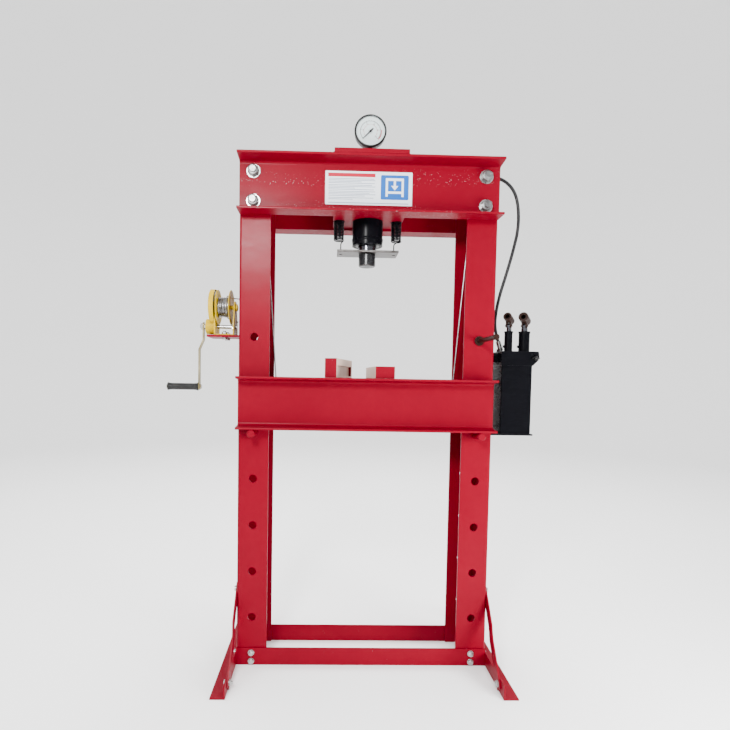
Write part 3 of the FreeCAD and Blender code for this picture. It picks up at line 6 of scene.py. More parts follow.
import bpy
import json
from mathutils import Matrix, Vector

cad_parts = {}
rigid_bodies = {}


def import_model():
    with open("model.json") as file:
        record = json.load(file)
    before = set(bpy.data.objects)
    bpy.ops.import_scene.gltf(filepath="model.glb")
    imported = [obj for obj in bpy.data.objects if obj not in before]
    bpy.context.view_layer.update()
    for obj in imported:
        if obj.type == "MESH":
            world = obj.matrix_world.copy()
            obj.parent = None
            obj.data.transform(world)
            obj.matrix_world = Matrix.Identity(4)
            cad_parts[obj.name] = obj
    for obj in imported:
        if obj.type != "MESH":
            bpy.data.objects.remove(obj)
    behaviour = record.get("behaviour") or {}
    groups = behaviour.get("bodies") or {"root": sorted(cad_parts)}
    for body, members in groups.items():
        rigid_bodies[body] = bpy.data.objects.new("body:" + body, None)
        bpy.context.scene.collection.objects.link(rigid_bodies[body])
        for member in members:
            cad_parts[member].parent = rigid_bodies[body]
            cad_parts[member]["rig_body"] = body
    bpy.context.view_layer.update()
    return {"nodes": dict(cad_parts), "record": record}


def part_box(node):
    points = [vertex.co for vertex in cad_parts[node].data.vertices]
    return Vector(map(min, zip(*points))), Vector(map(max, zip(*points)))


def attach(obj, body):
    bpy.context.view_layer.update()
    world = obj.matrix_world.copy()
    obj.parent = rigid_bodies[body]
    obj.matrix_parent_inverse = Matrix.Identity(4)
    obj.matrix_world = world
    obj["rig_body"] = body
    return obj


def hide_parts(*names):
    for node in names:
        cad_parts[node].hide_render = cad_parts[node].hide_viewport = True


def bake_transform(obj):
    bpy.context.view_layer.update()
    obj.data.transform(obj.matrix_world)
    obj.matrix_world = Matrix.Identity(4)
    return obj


bl_info = {
    "name": "Hydraulic Shop Press",
    "version": (1, 0, 0),
    "blender": (4, 5, 0),
    "location": "View3D > Sidebar > Shop Press",
    "description": "Dresses the CAD model of a shop press with its surfaces, finishes and stage",
    "category": "Add Mesh",
}

import json
import math

import bmesh
import bpy
import numpy as np
from bpy.props import FloatProperty, FloatVectorProperty, IntProperty, PointerProperty
from mathutils import Matrix, Vector

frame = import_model()

MM = 0.001

# places that several pieces share, in millimetres
COLUMN_X = 418.0
BOLT_X, BOLT_Z = 424.0, (1833.0, 1727.0)
WEB_FACE = 101.0
CROSSHEAD_TOP = 1882.0
DRUM_Z = 1354.0
DRUM_RIGHT, DRUM_LEFT = -517.0, -569.0
FLANGE = 2.5
ROPE = 2.5
PULLEY_Z, PULLEY_TURN = 1782.0, 24.0
BED_PULLEY_X, BED_PULLEY_Z = 310.0, 939.8
LEAD_Z = DRUM_Z + 43.8
FAIRLEAD_Y = 70.0
GAUGE_Y, GAUGE_Z = -44.0, 2006.5
SPRING_X = 110.0
GRIP_Z = 1049.0


# ---- shells: points, four-sided faces and three-sided faces as arrays ------------------------
def shell(grid, wrap_rows=False, caps=True):
    """A surface over a grid of points; columns run round it and always close on themselves.

    Point (i, j) joins (i, j+1), (i+1, j+1) and (i+1, j). Each open end gets a fan to its own centre.
    Where the enclosed volume comes out negative, the winding is turned round.
    """
    rows, columns = grid.shape[:2]
    points = grid.reshape(-1, 3)
    here = np.arange(rows * columns).reshape(rows, columns)
    across, down = np.roll(here, -1, 1), np.roll(here, -1, 0)
    quads = np.stack([here, across, np.roll(down, -1, 1), down], -1)
    quads = quads[:rows if wrap_rows else -1].reshape(-1, 4)
    triangles = np.zeros((0, 3), int)
    if caps and not wrap_rows:
        low, high = len(points), len(points) + 1
        points = np.vstack([points, grid[0].mean(0), grid[-1].mean(0)])
        fans = ((across[0], here[0], low), (here[-1], across[-1], high))
        triangles = np.vstack([xyz(*fan) for fan in fans])
    solid = np.vstack([quads[:, [0, 1, 2]], quads[:, [0, 2, 3]], triangles])
    a, b, c = (points[solid[:, k]] for k in range(3))
    if np.einsum("ij,ij->i", a, np.cross(b, c)).sum() < 0:
        quads, triangles = quads[:, ::-1], triangles[:, ::-1]
    return points, quads, triangles


def spin(origin, axis, along, radius, ring=False):
    """A surface turned about an axis, from a distance along it for each row and a radius for each point.

    Point = origin + along * axis + radius * (cos angle * first + sin angle * second).
    """
    axis = np.asarray(axis, float) / np.linalg.norm(axis)
    first = np.cross((0.0, 0.0, 1.0) if abs(axis[2]) < 0.9 else (1.0, 0.0, 0.0), axis)
    first /= np.linalg.norm(first)
    angle = np.linspace(0, 2 * np.pi, radius.shape[1], endpoint=False)[:, None]
    out = np.cos(angle) * first + np.sin(angle) * np.cross(axis, first)
    return shell(np.asarray(origin, float) + along[:, None, None] * axis + radius[..., None] * out, ring)


def turned(profile, origin, axis, around=48, ring=False):
    """A profile of (distance along, radius) pairs turned about an axis."""
    along, radius = np.asarray(profile, float).T
    return spin(origin, axis, along, np.repeat(radius[:, None], around, 1), ring)


def xyz(x, y, z):
    """Points from three arrays or numbers, spread to one shape."""
    return np.stack(np.broadcast_arrays(x, y, z), -1)


def arc(x, z, radius, angle):
    """Points at angles about a centre, in the upright plane through the ram and across the press."""
    return xyz(x + radius * np.cos(angle), 0.0, z + radius * np.sin(angle))


def run(path):
    """The length of a line of points up to each point."""
    return np.concatenate([[0], np.cumsum(np.linalg.norm(np.diff(path, axis=0), axis=1))])


def tube(path, radius, around=16, lean=(0.0, 1.0, 0.0), strands=0, lay=40.0, groove=0.14):
    """A section carried along a line of points.

    The section's radius is radius * (1 - groove + groove * |cos(strands / 2 * (angle + turn))|), where turn
    grows by one round every lay of length, which twists the strands. With no strands it is round.
    """
    path = np.asarray(path, float)
    ahead = np.gradient(path, axis=0)
    ahead /= np.linalg.norm(ahead, axis=1)[:, None]
    side = np.cross(np.asarray(lean, float), ahead)
    side /= np.linalg.norm(side, axis=1)[:, None]
    up = np.cross(ahead, side)
    angle = np.linspace(0, 2 * np.pi, around, endpoint=False)[None, :]
    size = np.broadcast_to(np.asarray(radius, float).reshape(-1, 1), (len(path), around)).copy()
    if strands:
        turn = 2 * np.pi * run(path)[:, None] / lay
        size = size * (1 - groove + groove * np.abs(np.cos(strands / 2 * (angle + turn))))
    grid = (path[:, None] + size[..., None] * (np.cos(angle)[..., None] * side[:, None]
                                               + np.sin(angle)[..., None] * up[:, None]))
    return shell(grid)


def hexagon(origin, axis, across, high, chamfer=0.12, around=72):
    """A nut or bolt head: at each angle the radius is the lesser of the hexagon's and a cone's at each end.

    The hexagon's radius is (across / 2) / cos(angle to the nearest flat's middle).
    """
    angle = np.linspace(0, 2 * np.pi, around, endpoint=False)
    hexagonal = across / 2 / np.cos((angle + np.pi / 6) % (np.pi / 3) - np.pi / 6)
    heights = np.array([0, 0.075, 0.25, 0.5, 0.75, 1]) * high * chamfer
    heights = np.concatenate([heights, high - heights[::-1]])
    cone = across * 0.475 + np.minimum(heights, high - heights) / math.tan(math.radians(30))
    corner = across / math.sqrt(3) + 1
    return spin(origin, axis, heights, np.minimum(hexagonal, np.minimum(cone, corner)[:, None]))


def thread(origin, axis, radius, length, pitch):
    """A stud's end: a turned profile whose radius falls and rises by 0.55 pitch each pitch."""
    turns = max(2, int(length / pitch))
    along = np.repeat(np.arange(turns) * pitch, 3) + np.tile([0.0, 0.15, 0.6], turns) * pitch
    deep = np.tile([0.0, 0.0, 0.55], turns) * pitch
    profile = np.stack([along, radius - deep], -1)
    profile = np.vstack([profile, [length - 0.8, radius], [length, radius - 0.9]])
    return turned(profile, origin, axis, 32)


def washer(origin, axis, radius, high, bore):
    """A washer with broken edges, as a closed profile turned about its axis."""
    edge = min(0.4, high / 4)
    profile = [(0, bore), (0, radius - edge), (edge, radius), (high - edge, radius), (high, radius - edge),
               (high, bore)]
    return turned(profile, origin, axis, 40, ring=True)


def bead(start, end, radius, pitch=4.5, seed=0):
    """A weld bead between two points: a tube whose radius ripples once each pitch, with a slow sway."""
    start, end = np.asarray(start, float), np.asarray(end, float)
    length = np.linalg.norm(end - start)
    rows = max(8, int(length / pitch * 4))
    along = np.linspace(0, 1, rows)
    path = start + along[:, None] * (end - start)
    distance = along * length
    ripple = 0.5 + 0.5 * np.abs(np.sin(np.pi * distance / pitch + seed))
    sway = 0.12 * np.sin(distance * 0.11 + seed) + 0.08 * np.sin(distance * 0.31 + 2 * seed)
    size = radius * (0.72 + 0.28 * ripple + sway)
    size[0] = size[-1] = radius * 0.3
    lean = (0.0, 0.0, 1.0) if abs((end - start)[2]) < 0.9 * length else (1.0, 0.0, 0.0)
    return tube(path, size, 10, lean)


def nurbs_line(points, steps=12):
    """Points read from a NURBS spline of order 3 through two ends, with the rest as its control points."""
    curve = settle(bpy.data.curves.new("route", "CURVE"), dimensions="3D", resolution_u=steps)
    route_spline(curve, points)
    holder = linked("route", curve)
    line = bpy.data.meshes.new_from_object(holder)
    found = np.zeros(len(line.vertices) * 3)
    line.vertices.foreach_get("co", found)
    bpy.data.objects.remove(holder)
    bpy.data.curves.remove(curve)
    bpy.data.meshes.remove(line)
    return found.reshape(-1, 3)


def route_spline(curve, points):
    """Add a NURBS spline of order 3 that starts and ends on its outer points."""
    spline = curve.splines.new("NURBS")
    spline.points.add(len(points) - 1)
    flat = np.ones((len(points), 4))
    flat[:, :3] = points
    spline.points.foreach_set("co", flat.ravel())
    spline.order_u = 3
    spline.use_endpoint_u = True
    return spline


def even(path, step):
    """The same line with points a step apart, by its length."""
    path = np.asarray(path, float)
    length = run(path)
    wanted = np.linspace(0, length[-1], max(3, int(length[-1] / step) + 1))
    return np.stack([np.interp(wanted, length, path[:, k]) for k in range(3)], -1)


# ---- pieces ----------------------------------------------------------------------------------
def settle(thing, **values):
    """Set several of a thing's properties."""
    for name, value in values.items():
        setattr(thing, name, value)
    return thing


def linked(name, data):
    """A new object in the scene's collection."""
    thing = bpy.data.objects.new(name, data)
    bpy.context.scene.collection.objects.link(thing)
    return thing


def build(name, shells, body, finishes, slot, replaces=(), sharp=38.0, ride=True):
    """One mesh object from shells in millimetres; each may end with the number of its finish."""
    points, faces, numbers = [], ([], []), ([], [])
    start = 0
    for made, *kinds, number in ((*one, 0) if len(one) == 3 else one for one in shells):
        points.append(made)
        for kind, found in enumerate(kinds):
            faces[kind].extend((found + start).astype(int).tolist())
            numbers[kind].extend([number] * len(found))
        start += len(made)
    mesh = bpy.data.meshes.new(name)
    mesh.from_pydata((np.vstack(points) * MM).tolist(), [], faces[0] + faces[1])
    for finish in finishes:
        mesh.materials.append(finish)
    mesh.polygons.foreach_set("material_index", numbers[0] + numbers[1])
    mesh.validate()
    return place(name, mesh, body, slot, replaces, sharp, ride)


def place(name, mesh, body, slot, replaces=(), sharp=38.0, ride=True):
    """Link a mesh as a piece, smooth it up to an angle, and tie it to its body."""
    mesh.polygons.foreach_set("use_smooth", np.ones(len(mesh.polygons), bool))
    mesh.set_sharp_from_angle(angle=math.radians(sharp))
    thing = linked(name, mesh)
    if ride:
        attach(thing, body)
    if replaces:
        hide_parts(*replaces)
    return thing


def node_slot(node):
    """The record's slot of a CAD node."""
    return next(row["material_slot"] for row in frame["record"]["subparts"] if row["node"] == node)


def node_body(node):
    """The body that a CAD node rides on."""
    return frame["nodes"][node]["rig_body"]


def softened(node, finishes, width=0.8, segments=2):
    """A CAD node's shape with its edges broken, in the node's place.

    Its triangles are joined at shared corners, flat ones become one face, and a bevel of the given
    width in millimetres breaks the edges; the bevel takes the second finish where there is one.
    """
    mesh = frame["nodes"][node].data.copy()
    mesh.materials.clear()
    for finish in finishes:
        mesh.materials.append(finish)
    work = bmesh.new()
    work.from_mesh(mesh)
    bmesh.ops.remove_doubles(work, verts=work.verts, dist=2e-6)
    bmesh.ops.dissolve_limit(work, angle_limit=math.radians(0.6), verts=work.verts, edges=work.edges)
    for face in work.faces:
        face.material_index = 0
        face.smooth = True
    work.to_mesh(mesh)
    work.free()
    if "custom_normal" in mesh.attributes:
        mesh.attributes.remove(mesh.attributes["custom_normal"])
    thing = linked(node + "_surface", mesh)
    settle(thing.modifiers.new("broken_edges", "BEVEL"), width=width * MM, segments=segments,
           limit_method="ANGLE", angle_limit=math.radians(32), miter_outer="MITER_ARC",
           material=1 if len(finishes) > 1 else -1)
    thing.modifiers.new("flat_faces", "WEIGHTED_NORMAL").weight = 80
    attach(thing, node_body(node))
    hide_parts(node)
    return thing


def dress(*rows):
    """Soften CAD nodes: a row holds the nodes, their finishes, the bevel's width and its segments."""
    for nodes, names, *bevel in rows:
        for node in nodes.split():
            softened(node, coats(*names.split()), *bevel)


def repaint(nodes, name):
    """Give CAD nodes that keep their own surface a finish."""
    for node in nodes.split():
        for holder in frame["nodes"][node].material_slots:
            holder.material = finish(name)


# ---- finishes --------------------------------------------------------------------------------
class Recipe:
    """The nodes of one finish: a principled shader and what feeds its colour, roughness and bump."""

    def __init__(self, name, **settings):
        self.finish = bpy.data.materials.new(name)
        self.finish.use_nodes = True
        self.tree = self.finish.node_tree
        self.shader = next(n for n in self.tree.nodes if n.type == "BSDF_PRINCIPLED")
        self.where = self.tree.nodes.new("ShaderNodeTexCoord").outputs["Object"]
        self.give(**settings)

    def feed(self, socket, value):
        """Link a socket, or set its value; a colour gets its alpha."""
        if isinstance(value, bpy.types.NodeSocket):
            self.tree.links.new(value, socket)
        else:
            socket.default_value = (*value, 1.0) if socket.type == "RGBA" and len(value) == 3 else value

    def give(self, made=None, **inputs):
        """Feed the shader, or another node, by input names with underscores for spaces."""
        for name, value in inputs.items():
            self.feed((made or self.shader).inputs[name.replace("_", " ")], value)
        return made or self.finish

    def node(self, kind, **inputs):
        """A new node with some of its inputs fed."""
        return self.give(self.tree.nodes.new("ShaderNode" + kind), **inputs)

    def stretched(self, scale):
        """Object coordinates stretched along the axes."""
        return self.node("Mapping", Vector=self.where, Scale=scale).outputs["Vector"]

    def noise(self, scale, detail=3.0, rough=0.55, where=None, warp=0.0):
        """Smooth noise between 0 and 1; scale is in waves to the metre."""
        made = self.node("TexNoise", Vector=where or self.where, Scale=scale, Detail=detail, Roughness=rough,
                         Distortion=warp)
        return made.outputs["Fac"]

    def cells(self, scale, where=None, feature="F1"):
        """Distance to scattered points, for grains and chips."""
        made = self.node("TexVoronoi", Vector=where or self.where, Scale=scale)
        made.feature = feature
        return made.outputs["Distance"]

    def step(self, value, low, high, start=0.0, end=1.0):
        """A value mapped from one range to another and held at its ends."""
        return self.node("MapRange", Value=value, From_Min=low, From_Max=high, To_Min=start,
                         To_Max=end).outputs["Result"]

    def both(self, first, second, operation="MULTIPLY"):
        """Two values multiplied, or put together by another operation."""
        made = self.node("Math")
        made.operation = operation
        self.feed(made.inputs[0], first)
        self.feed(made.inputs[1], second)
        return made.outputs["Value"]

    def blend(self, amount, first, second):
        """One colour to another by an amount."""
        made = self.node("Mix")
        made.data_type = "RGBA"
        for place, value in (("Factor", amount), (6, first), (7, second)):
            self.feed(made.inputs[place], value)
        return made.outputs[2]

    def bumps(self, *layers):
        """Bump from layers of (height, strength, distance in millimetres), one on another."""
        normal = None
        for height, strength, distance in layers:
            made = self.node("Bump", Height=height, Strength=strength, Distance=distance * MM)
            if normal:
                self.feed(made.inputs["Normal"], normal)
            normal = made.outputs["Normal"]
        self.give(Normal=normal)


def lighter(colour, amount):
    """A colour moved towards white, or towards black where the amount is negative."""
    target = 1.0 if amount > 0 else 0.0
    return tuple(c + (target - c) * abs(amount) for c in colour)


def enamel(name, colour, rough=0.3, wear=0.0, dust=0.25, under=(0.07, 0.05, 0.045), peel=0.12, gloss=0.035,
           coat=0.04, speckle=0.0):
    """Sprayed enamel: slow changes of shade, orange peel, fine dust nibs, and chips to what is under it."""
    made = Recipe(name, Specular_IOR_Level=gloss, Coat_Weight=coat, Coat_Roughness=0.22)
    shade = made.noise(5.0, 4.0)
    film = made.noise(60.0, 5.0, 0.6)
    nibs = made.step(made.cells(420.0), 0.09, 0.04)
    patches = made.step(made.noise(14.0, 6.0, 0.7), 0.56, 0.72)
    dusty = made.both(nibs, patches)
    base = made.blend(made.step(shade, 0.3, 0.7), lighter(colour, -0.14), colour)
    base = made.blend(made.step(film, 0.35, 0.75, 0.0, 0.35), base, lighter(colour, -0.22))
    base = made.blend(made.both(dusty, dust), base, lighter(colour, 0.3))
    if speckle:
        streaks = made.step(made.noise(3.5, 3.0, 0.6, made.stretched((0.35, 1.0, 5.0))), 0.5, 0.68)
        dots = made.step(made.cells(150.0), 0.17, 0.08)
        base = made.blend(made.both(made.both(dots, streaks), speckle), base,
                          lighter(colour, 0.6))
    scuff = made.noise(9.0, 7.0, 0.75, made.stretched((1.0, 1.0, 3.0)))
    chips = made.step(made.noise(70.0, 8.0, 0.72, warp=0.6), 0.69 - 0.15 * wear, 0.72 - 0.15 * wear)
    if wear:
        base = made.blend(chips, base, made.blend(made.step(film, 0.4, 0.6), under, lighter(under, 0.25)))
    roughness = made.step(scuff, 0.35, 0.75, rough - 0.05, rough + 0.16)
    made.bumps((made.noise(210.0, 2.0, 0.4), peel, 0.6), (made.noise(900.0, 2.0), peel * 0.5, 0.12),
               (dusty, 0.25, 0.2), *([(chips, -0.4, 0.15)] if wear else []))
    return made.give(Base_Color=base, Roughness=roughness)


def metal(name, colour, rough=0.25, grain=(1.0, 1.0, 1.0), tone=0.25, stain=None, scratch=0.15):
    """Bare or plated metal: drawn grain, cloudy plating, faint stains and hairline scratches."""
    made = Recipe(name, Metallic=1.0)
    cloud = made.noise(28.0, 5.0, 0.6)
    grained = made.noise(260.0, 4.0, 0.6, made.stretched(grain))
    base = made.blend(made.step(cloud, 0.3, 0.72), lighter(colour, -tone), lighter(colour, tone * 0.3))
    if stain:
        spots = made.step(made.noise(75.0, 7.0, 0.7, warp=0.4), 0.56, 0.7)
        base = made.blend(spots, base, stain)
    roughness = made.step(made.both(cloud, grained, "ADD"), 0.7, 1.35, max(0.04, rough - 0.08), rough + 0.14)
    lines = made.step(made.cells(90.0, made.stretched((3.0, 3.0, 30.0)), "DISTANCE_TO_EDGE"), 0.0, 0.02)
    made.bumps((grained, scratch, 0.08), (lines, scratch * 0.5, 0.04))
    return made.give(Base_Color=base, Roughness=roughness)


def moulded(name, colour, rough=0.45, grain=700.0, bump=0.2):
    """Moulded rubber or plastic with a fine grain and a little bloom."""
    made = Recipe(name, Specular_IOR_Level=0.2)
    bloom = made.noise(40.0, 5.0, 0.65)
    base = made.blend(made.step(bloom, 0.35, 0.75, 0.0, 0.6), colour, lighter(colour, 0.02))
    made.bumps((made.noise(grain, 3.0, 0.6), bump, 0.12))
    return made.give(Base_Color=base, Roughness=made.step(bloom, 0.3, 0.8, rough - 0.08, rough + 0.15))


def braided_rubber(name, colour):
    """Hose cover: a wrapped-cloth mark of two crossed sets of fine diagonal lines under black rubber."""
    made = Recipe(name, Specular_IOR_Level=0.25)
    waves = []
    for turn in (0.8, -0.8):
        mapping = made.node("Mapping", Vector=made.where, Rotation=(0.0, turn, 0.0))
        band = made.node("TexWave", Vector=mapping.outputs["Vector"], Scale=150.0, Distortion=0.4)
        waves.append(band.outputs["Fac"])
    weave = made.both(*waves)
    bloom = made.noise(30.0, 5.0, 0.6)
    base = made.blend(made.step(bloom, 0.35, 0.8, 0.0, 0.5), colour, lighter(colour, 0.02))
    made.bumps((weave, 0.35, 0.25), (made.noise(600.0), 0.15, 0.1))
    return made.give(Base_Color=base, Roughness=made.step(bloom, 0.3, 0.8, 0.34, 0.52))


def printed(name, colour, rough=0.35):
    """Print or vinyl: an even colour broken by a very fine halftone and handling marks."""
    made = Recipe(name, Specular_IOR_Level=0.2)
    speck = made.noise(1400.0, 2.0)
    smear = made.noise(22.0, 5.0, 0.6)
    base = made.blend(made.step(speck, 0.35, 0.7, 0.0, 0.3), colour, lighter(colour, -0.08))
    base = made.blend(made.step(smear, 0.5, 0.85, 0.0, 0.35), base, lighter(colour, -0.16))
    made.bumps((smear, 0.05, 0.2))
    return made.give(Base_Color=base, Roughness=made.step(smear, 0.3, 0.7, rough - 0.06, rough + 0.12))


def window_glass(name):
    """Clear glass for the gauge, with faint smears in its gloss."""
    made = Recipe(name, Base_Color=(0.97, 0.99, 0.99), Transmission_Weight=1.0, IOR=1.45, Alpha=0.3)
    smear = made.noise(45.0, 4.0)
    return made.give(Roughness=made.step(smear, 0.4, 0.8, 0.01, 0.07))


RECIPES = {
    "red": lambda looks: enamel("frame_red_enamel", looks.frame_red, 0.34, dust=0.2),
    "red_speckled": lambda looks: enamel("crosshead_red_enamel", looks.frame_red, 0.34, dust=0.5,
        speckle=0.75),
    "red_edge": lambda looks: enamel("frame_red_worn_edge", lighter(looks.frame_red, -0.2), 0.36,
        wear=0.5, dust=0.1),
    "red_worn": lambda looks: enamel("frame_red_scuffed", looks.frame_red, 0.38, wear=0.14, dust=0.25),
    # pale taupe enamel for the blocks' inner sides and undersides
    "side_taupe": lambda looks: enamel("block_taupe_side", (0.56, 0.41, 0.33), 0.5, wear=0.45,
        under=(0.3, 0.22, 0.17), peel=0.3, gloss=0.3),
    "yellow": lambda looks: enamel("winch_yellow_enamel", looks.winch_yellow, 0.34, wear=0.2,
        dust=0.05, under=(0.16, 0.1, 0.03)),
    "yellow_edge": lambda looks: enamel("winch_yellow_worn_edge", lighter(looks.winch_yellow, -0.2),
        0.4, wear=0.95, under=(0.2, 0.14, 0.07)),
    "black": lambda looks: enamel("pump_black_enamel", looks.pump_black, 0.26, dust=0.03, peel=0.04,
        gloss=0.03, coat=0.035),
    "black_edge": lambda looks: enamel("pump_black_worn_edge", lighter(looks.pump_black, 0.01), 0.34,
        wear=0.2, under=(0.04, 0.036, 0.034), gloss=0.04, coat=0.1),
    "case": lambda looks: enamel("gauge_case_black", (0.008, 0.008, 0.009), 0.26, dust=0.1, peel=0.03,
        gloss=0.25),
    "zinc": lambda looks: metal("bright_zinc", (0.5, 0.5, 0.49), 0.24, tone=0.35,
        stain=(0.22, 0.21, 0.19)),
    "yellow_zinc": lambda looks: metal("yellow_zinc", (0.27, 0.21, 0.07), 0.3, tone=0.4,
        stain=(0.12, 0.11, 0.07)),
    "steel": lambda looks: metal("machined_steel", (0.4, 0.38, 0.35), 0.3, (1.0, 1.0, 8.0), 0.2,
        (0.3, 0.27, 0.24)),
    "dark_steel": lambda looks: metal("blackened_steel", (0.03, 0.029, 0.03), 0.3, tone=0.35,
        stain=(0.055, 0.045, 0.038)),
    "brown_steel": lambda looks: enamel("browned_casting", (0.016, 0.006, 0.004), 0.4, wear=0.35,
        under=(0.04, 0.018, 0.012), peel=0.5, gloss=0.1),
    "plate_steel": lambda looks: metal("plate_steel", (0.05, 0.044, 0.04), 0.36, tone=0.4,
        stain=(0.07, 0.05, 0.04)),
    "nut_steel": lambda looks: metal("nut_steel", (0.2, 0.2, 0.2), 0.3, tone=0.5,
        stain=(0.42, 0.42, 0.41)),
    "chrome": lambda looks: metal("hard_chrome", (0.06, 0.06, 0.07), 0.16, (1.0, 1.0, 0.2), 0.08,
        scratch=0.05),
    "cast": lambda looks: metal("cast_iron", (0.16, 0.155, 0.15), 0.45, tone=0.3, scratch=0.5),
    "wire": lambda looks: metal("drawn_wire", (0.34, 0.34, 0.35), 0.3, (2.0, 2.0, 2.0), 0.3,
        (0.13, 0.12, 0.11), 0.3),
    "grip": lambda looks: moulded("grip_rubber", (0.006, 0.006, 0.006), 0.42),
    "hose": lambda looks: braided_rubber("hose_cover", (0.006, 0.006, 0.007)),
    "white": lambda looks: printed("label_white", (0.66, 0.7, 0.74)),
    "dial_white": lambda looks: printed("dial_white", (0.66, 0.74, 0.74), 0.5),
    "ink": lambda looks: printed("ink_black", (0.006, 0.006, 0.007), 0.5),
    "ink_grey": lambda looks: printed("ink_grey", (0.13, 0.17, 0.25), 0.4),
    "ink_red": lambda looks: printed("ink_red", (0.36, 0.0, 0.02), 0.4),
    "ink_blue": lambda looks: printed("ink_blue", (0.004, 0.085, 0.34), 0.4),
    "glass": lambda looks: window_glass("gauge_glass"),
}
FINISHES = {}


def finish(name):
    """A finish by name, made once and kept."""
    if name not in FINISHES:
        FINISHES[name] = RECIPES[name](bpy.context.scene.press_looks)
    return FINISHES[name]


def coats(*names):
    """Several finishes by name."""
    return [finish(name) for name in names]


# ---- settings --------------------------------------------------------------------------------
COLOUR = {"size": 3, "subtype": "COLOR", "min": 0.0, "max": 1.0}
POWER = {"subtype": "POWER", "unit": "POWER", "min": 0.0}


class PressLooks(bpy.types.PropertyGroup):
    """Colours and surface detail of the press."""

    frame_red: FloatVectorProperty(name="Frame red", description="Enamel of the frame and bed",
                                   default=(0.16, 0.0, 0.009), **COLOUR)
    winch_yellow: FloatVectorProperty(name="Winch yellow", description="Enamel of the winch",
                                      default=(0.52, 0.34, 0.0), **COLOUR)
    pump_black: FloatVectorProperty(name="Pump black", description="Enamel of the pump and cylinder",
                                    default=(0.002, 0.002, 0.003), **COLOUR)
    rope_strands: IntProperty(name="Rope strands", description="Outer strands of the wire rope", default=6,
                              min=3, max=8)
    rope_lay: FloatProperty(name="Rope lay", description="Length of one turn of a strand, in millimetres",
                            default=34.0, min=10.0, max=100.0)
    spring_coils: IntProperty(name="Spring coils", description="Coils of each return spring", default=27,
                              min=8, max=30)
    dial_marks: IntProperty(name="Dial marks", description="Divisions round the gauge's dial", default=50,
                              min=10, max=100)


class StageSettings(bpy.types.PropertyGroup):
    """Light, floor and camera."""

    floor_colour: FloatVectorProperty(name="Floor", description="Colour of the floor and backdrop",
                                      default=(0.9, 0.9, 0.9), **COLOUR)
    sky: FloatProperty(name="Sky", description="Strength of the even white light", default=1.8, min=0.0)
    key: FloatProperty(name="Key light", description="Power of the light at the lower right",
                       default=75.0, **POWER)
    glare: FloatProperty(name="Glare light", description="Power of the small light at the upper left",
                         default=105.0, **POWER)
    ceiling: FloatProperty(name="Ceiling light", description="Power of the wide light over the floor",
                           default=500.0, **POWER)
    focal: FloatProperty(name="Focal length", description="Of the camera's lens, in millimetres",
                         default=26.246, min=5.0)


# ---- pieces, one operator each ----------------------------------------------------------------
class PRESS_OT_hose(bpy.types.Operator):
    """Lay the hydraulic hose from the cylinder's port, over the column and down to the pump"""

    bl_idname = "press.hose"
    bl_label = "Hydraulic hose"

    def execute(self, context):
        lean = math.radians(18)
        up = Vector((-math.sin(lean), 0, math.cos(lean)))
        foot = Vector((534, 5, 1200))
        end = foot + up * 47
        points = [(102, 0, 1845), (178, 0, 1845), (276, -4, 1852), (376, 4, 1863), (462, -2, 1876),
                  (524, 0, 1862), (565, -2, 1819), (582, 0, 1756), (581, -6, 1674), (562, -10, 1590),
                  (538, -12, 1500), (515, -9, 1420), (504, -1, 1346), tuple(end + up * 46), tuple(end)]
        curve = settle(bpy.data.curves.new("hose", "CURVE"), dimensions="3D", resolution_u=14,
                       bevel_depth=6 * MM, bevel_resolution=7, use_fill_caps=True)
        curve.materials.append(finish("hose"))
        route_spline(curve, np.array(points) * MM)
        hose = linked("hose", curve)
        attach(hose, "frame")
        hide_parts("hydraulic_hose")
        dress(("hose_fittings", "zinc", 0.5))
        # crimped grooves round both ferrules
        grooves = []
        for origin, axis in (((80, 0, 1845), (1, 0, 0)), (foot + up * 22, up)):
            for step in range(4):
                start = np.array(origin) + np.array(axis) * (3.5 + 4.6 * step)
                grooves.append(turned([(0, 8.6), (0.3, 9.5), (2.6, 9.5), (2.9, 8.6)], start, axis, 40))
        build("hose_crimps", grooves, "frame", coats("zinc"), node_slot("hose_fittings"))
        return {"FINISHED"}


class PRESS_OT_frame(bpy.types.Operator):
    """Dress the columns, the crosshead and its plates, with the weld beads that join them"""

    bl_idname = "press.frame"
    bl_label = "Columns and crosshead"

    def execute(self, context):
        dress(("column_left column_right", "red red_edge", 0.9),
              ("crosshead_front crosshead_rear", "red_speckled red_edge", 1.1),
              ("top_plate guide_plate", "red_worn red_edge", 1.0))
        repaint("crosshead_pins", "steel")
        beads = []
        high = CROSSHEAD_TOP + 0.8
        for side in (-1, 1):
            # the top plate's ends on the crosshead's flanges, and the guide plate's edges between the webs
            for y0, y1, seed in ((-160, -98, 1.3), (98, 160, 2.3)):
                beads.append(bead((side * 132.5, y0, high), (side * 132.5, y1, high), 4.2, seed=seed + side))
            beads.append(bead((-125, side * 91.4, 1690.5), (125, side * 91.4, 1690.5), 3.6, seed=0.7 * side))
        build("crosshead_welds", beads, "frame", coats("red_worn"), "frame_paint")
        return {"FINISHED"}


class PRESS_OT_base(bpy.types.Operator):
    """Dress the rails, the feet and the braces"""

    bl_idname = "press.base"
    bl_label = "Rails, feet and braces"

    def execute(self, context):
        dress(("rail_front rail_rear foot_left foot_right braces", "red_worn red_edge", 0.8))
        return {"FINISHED"}


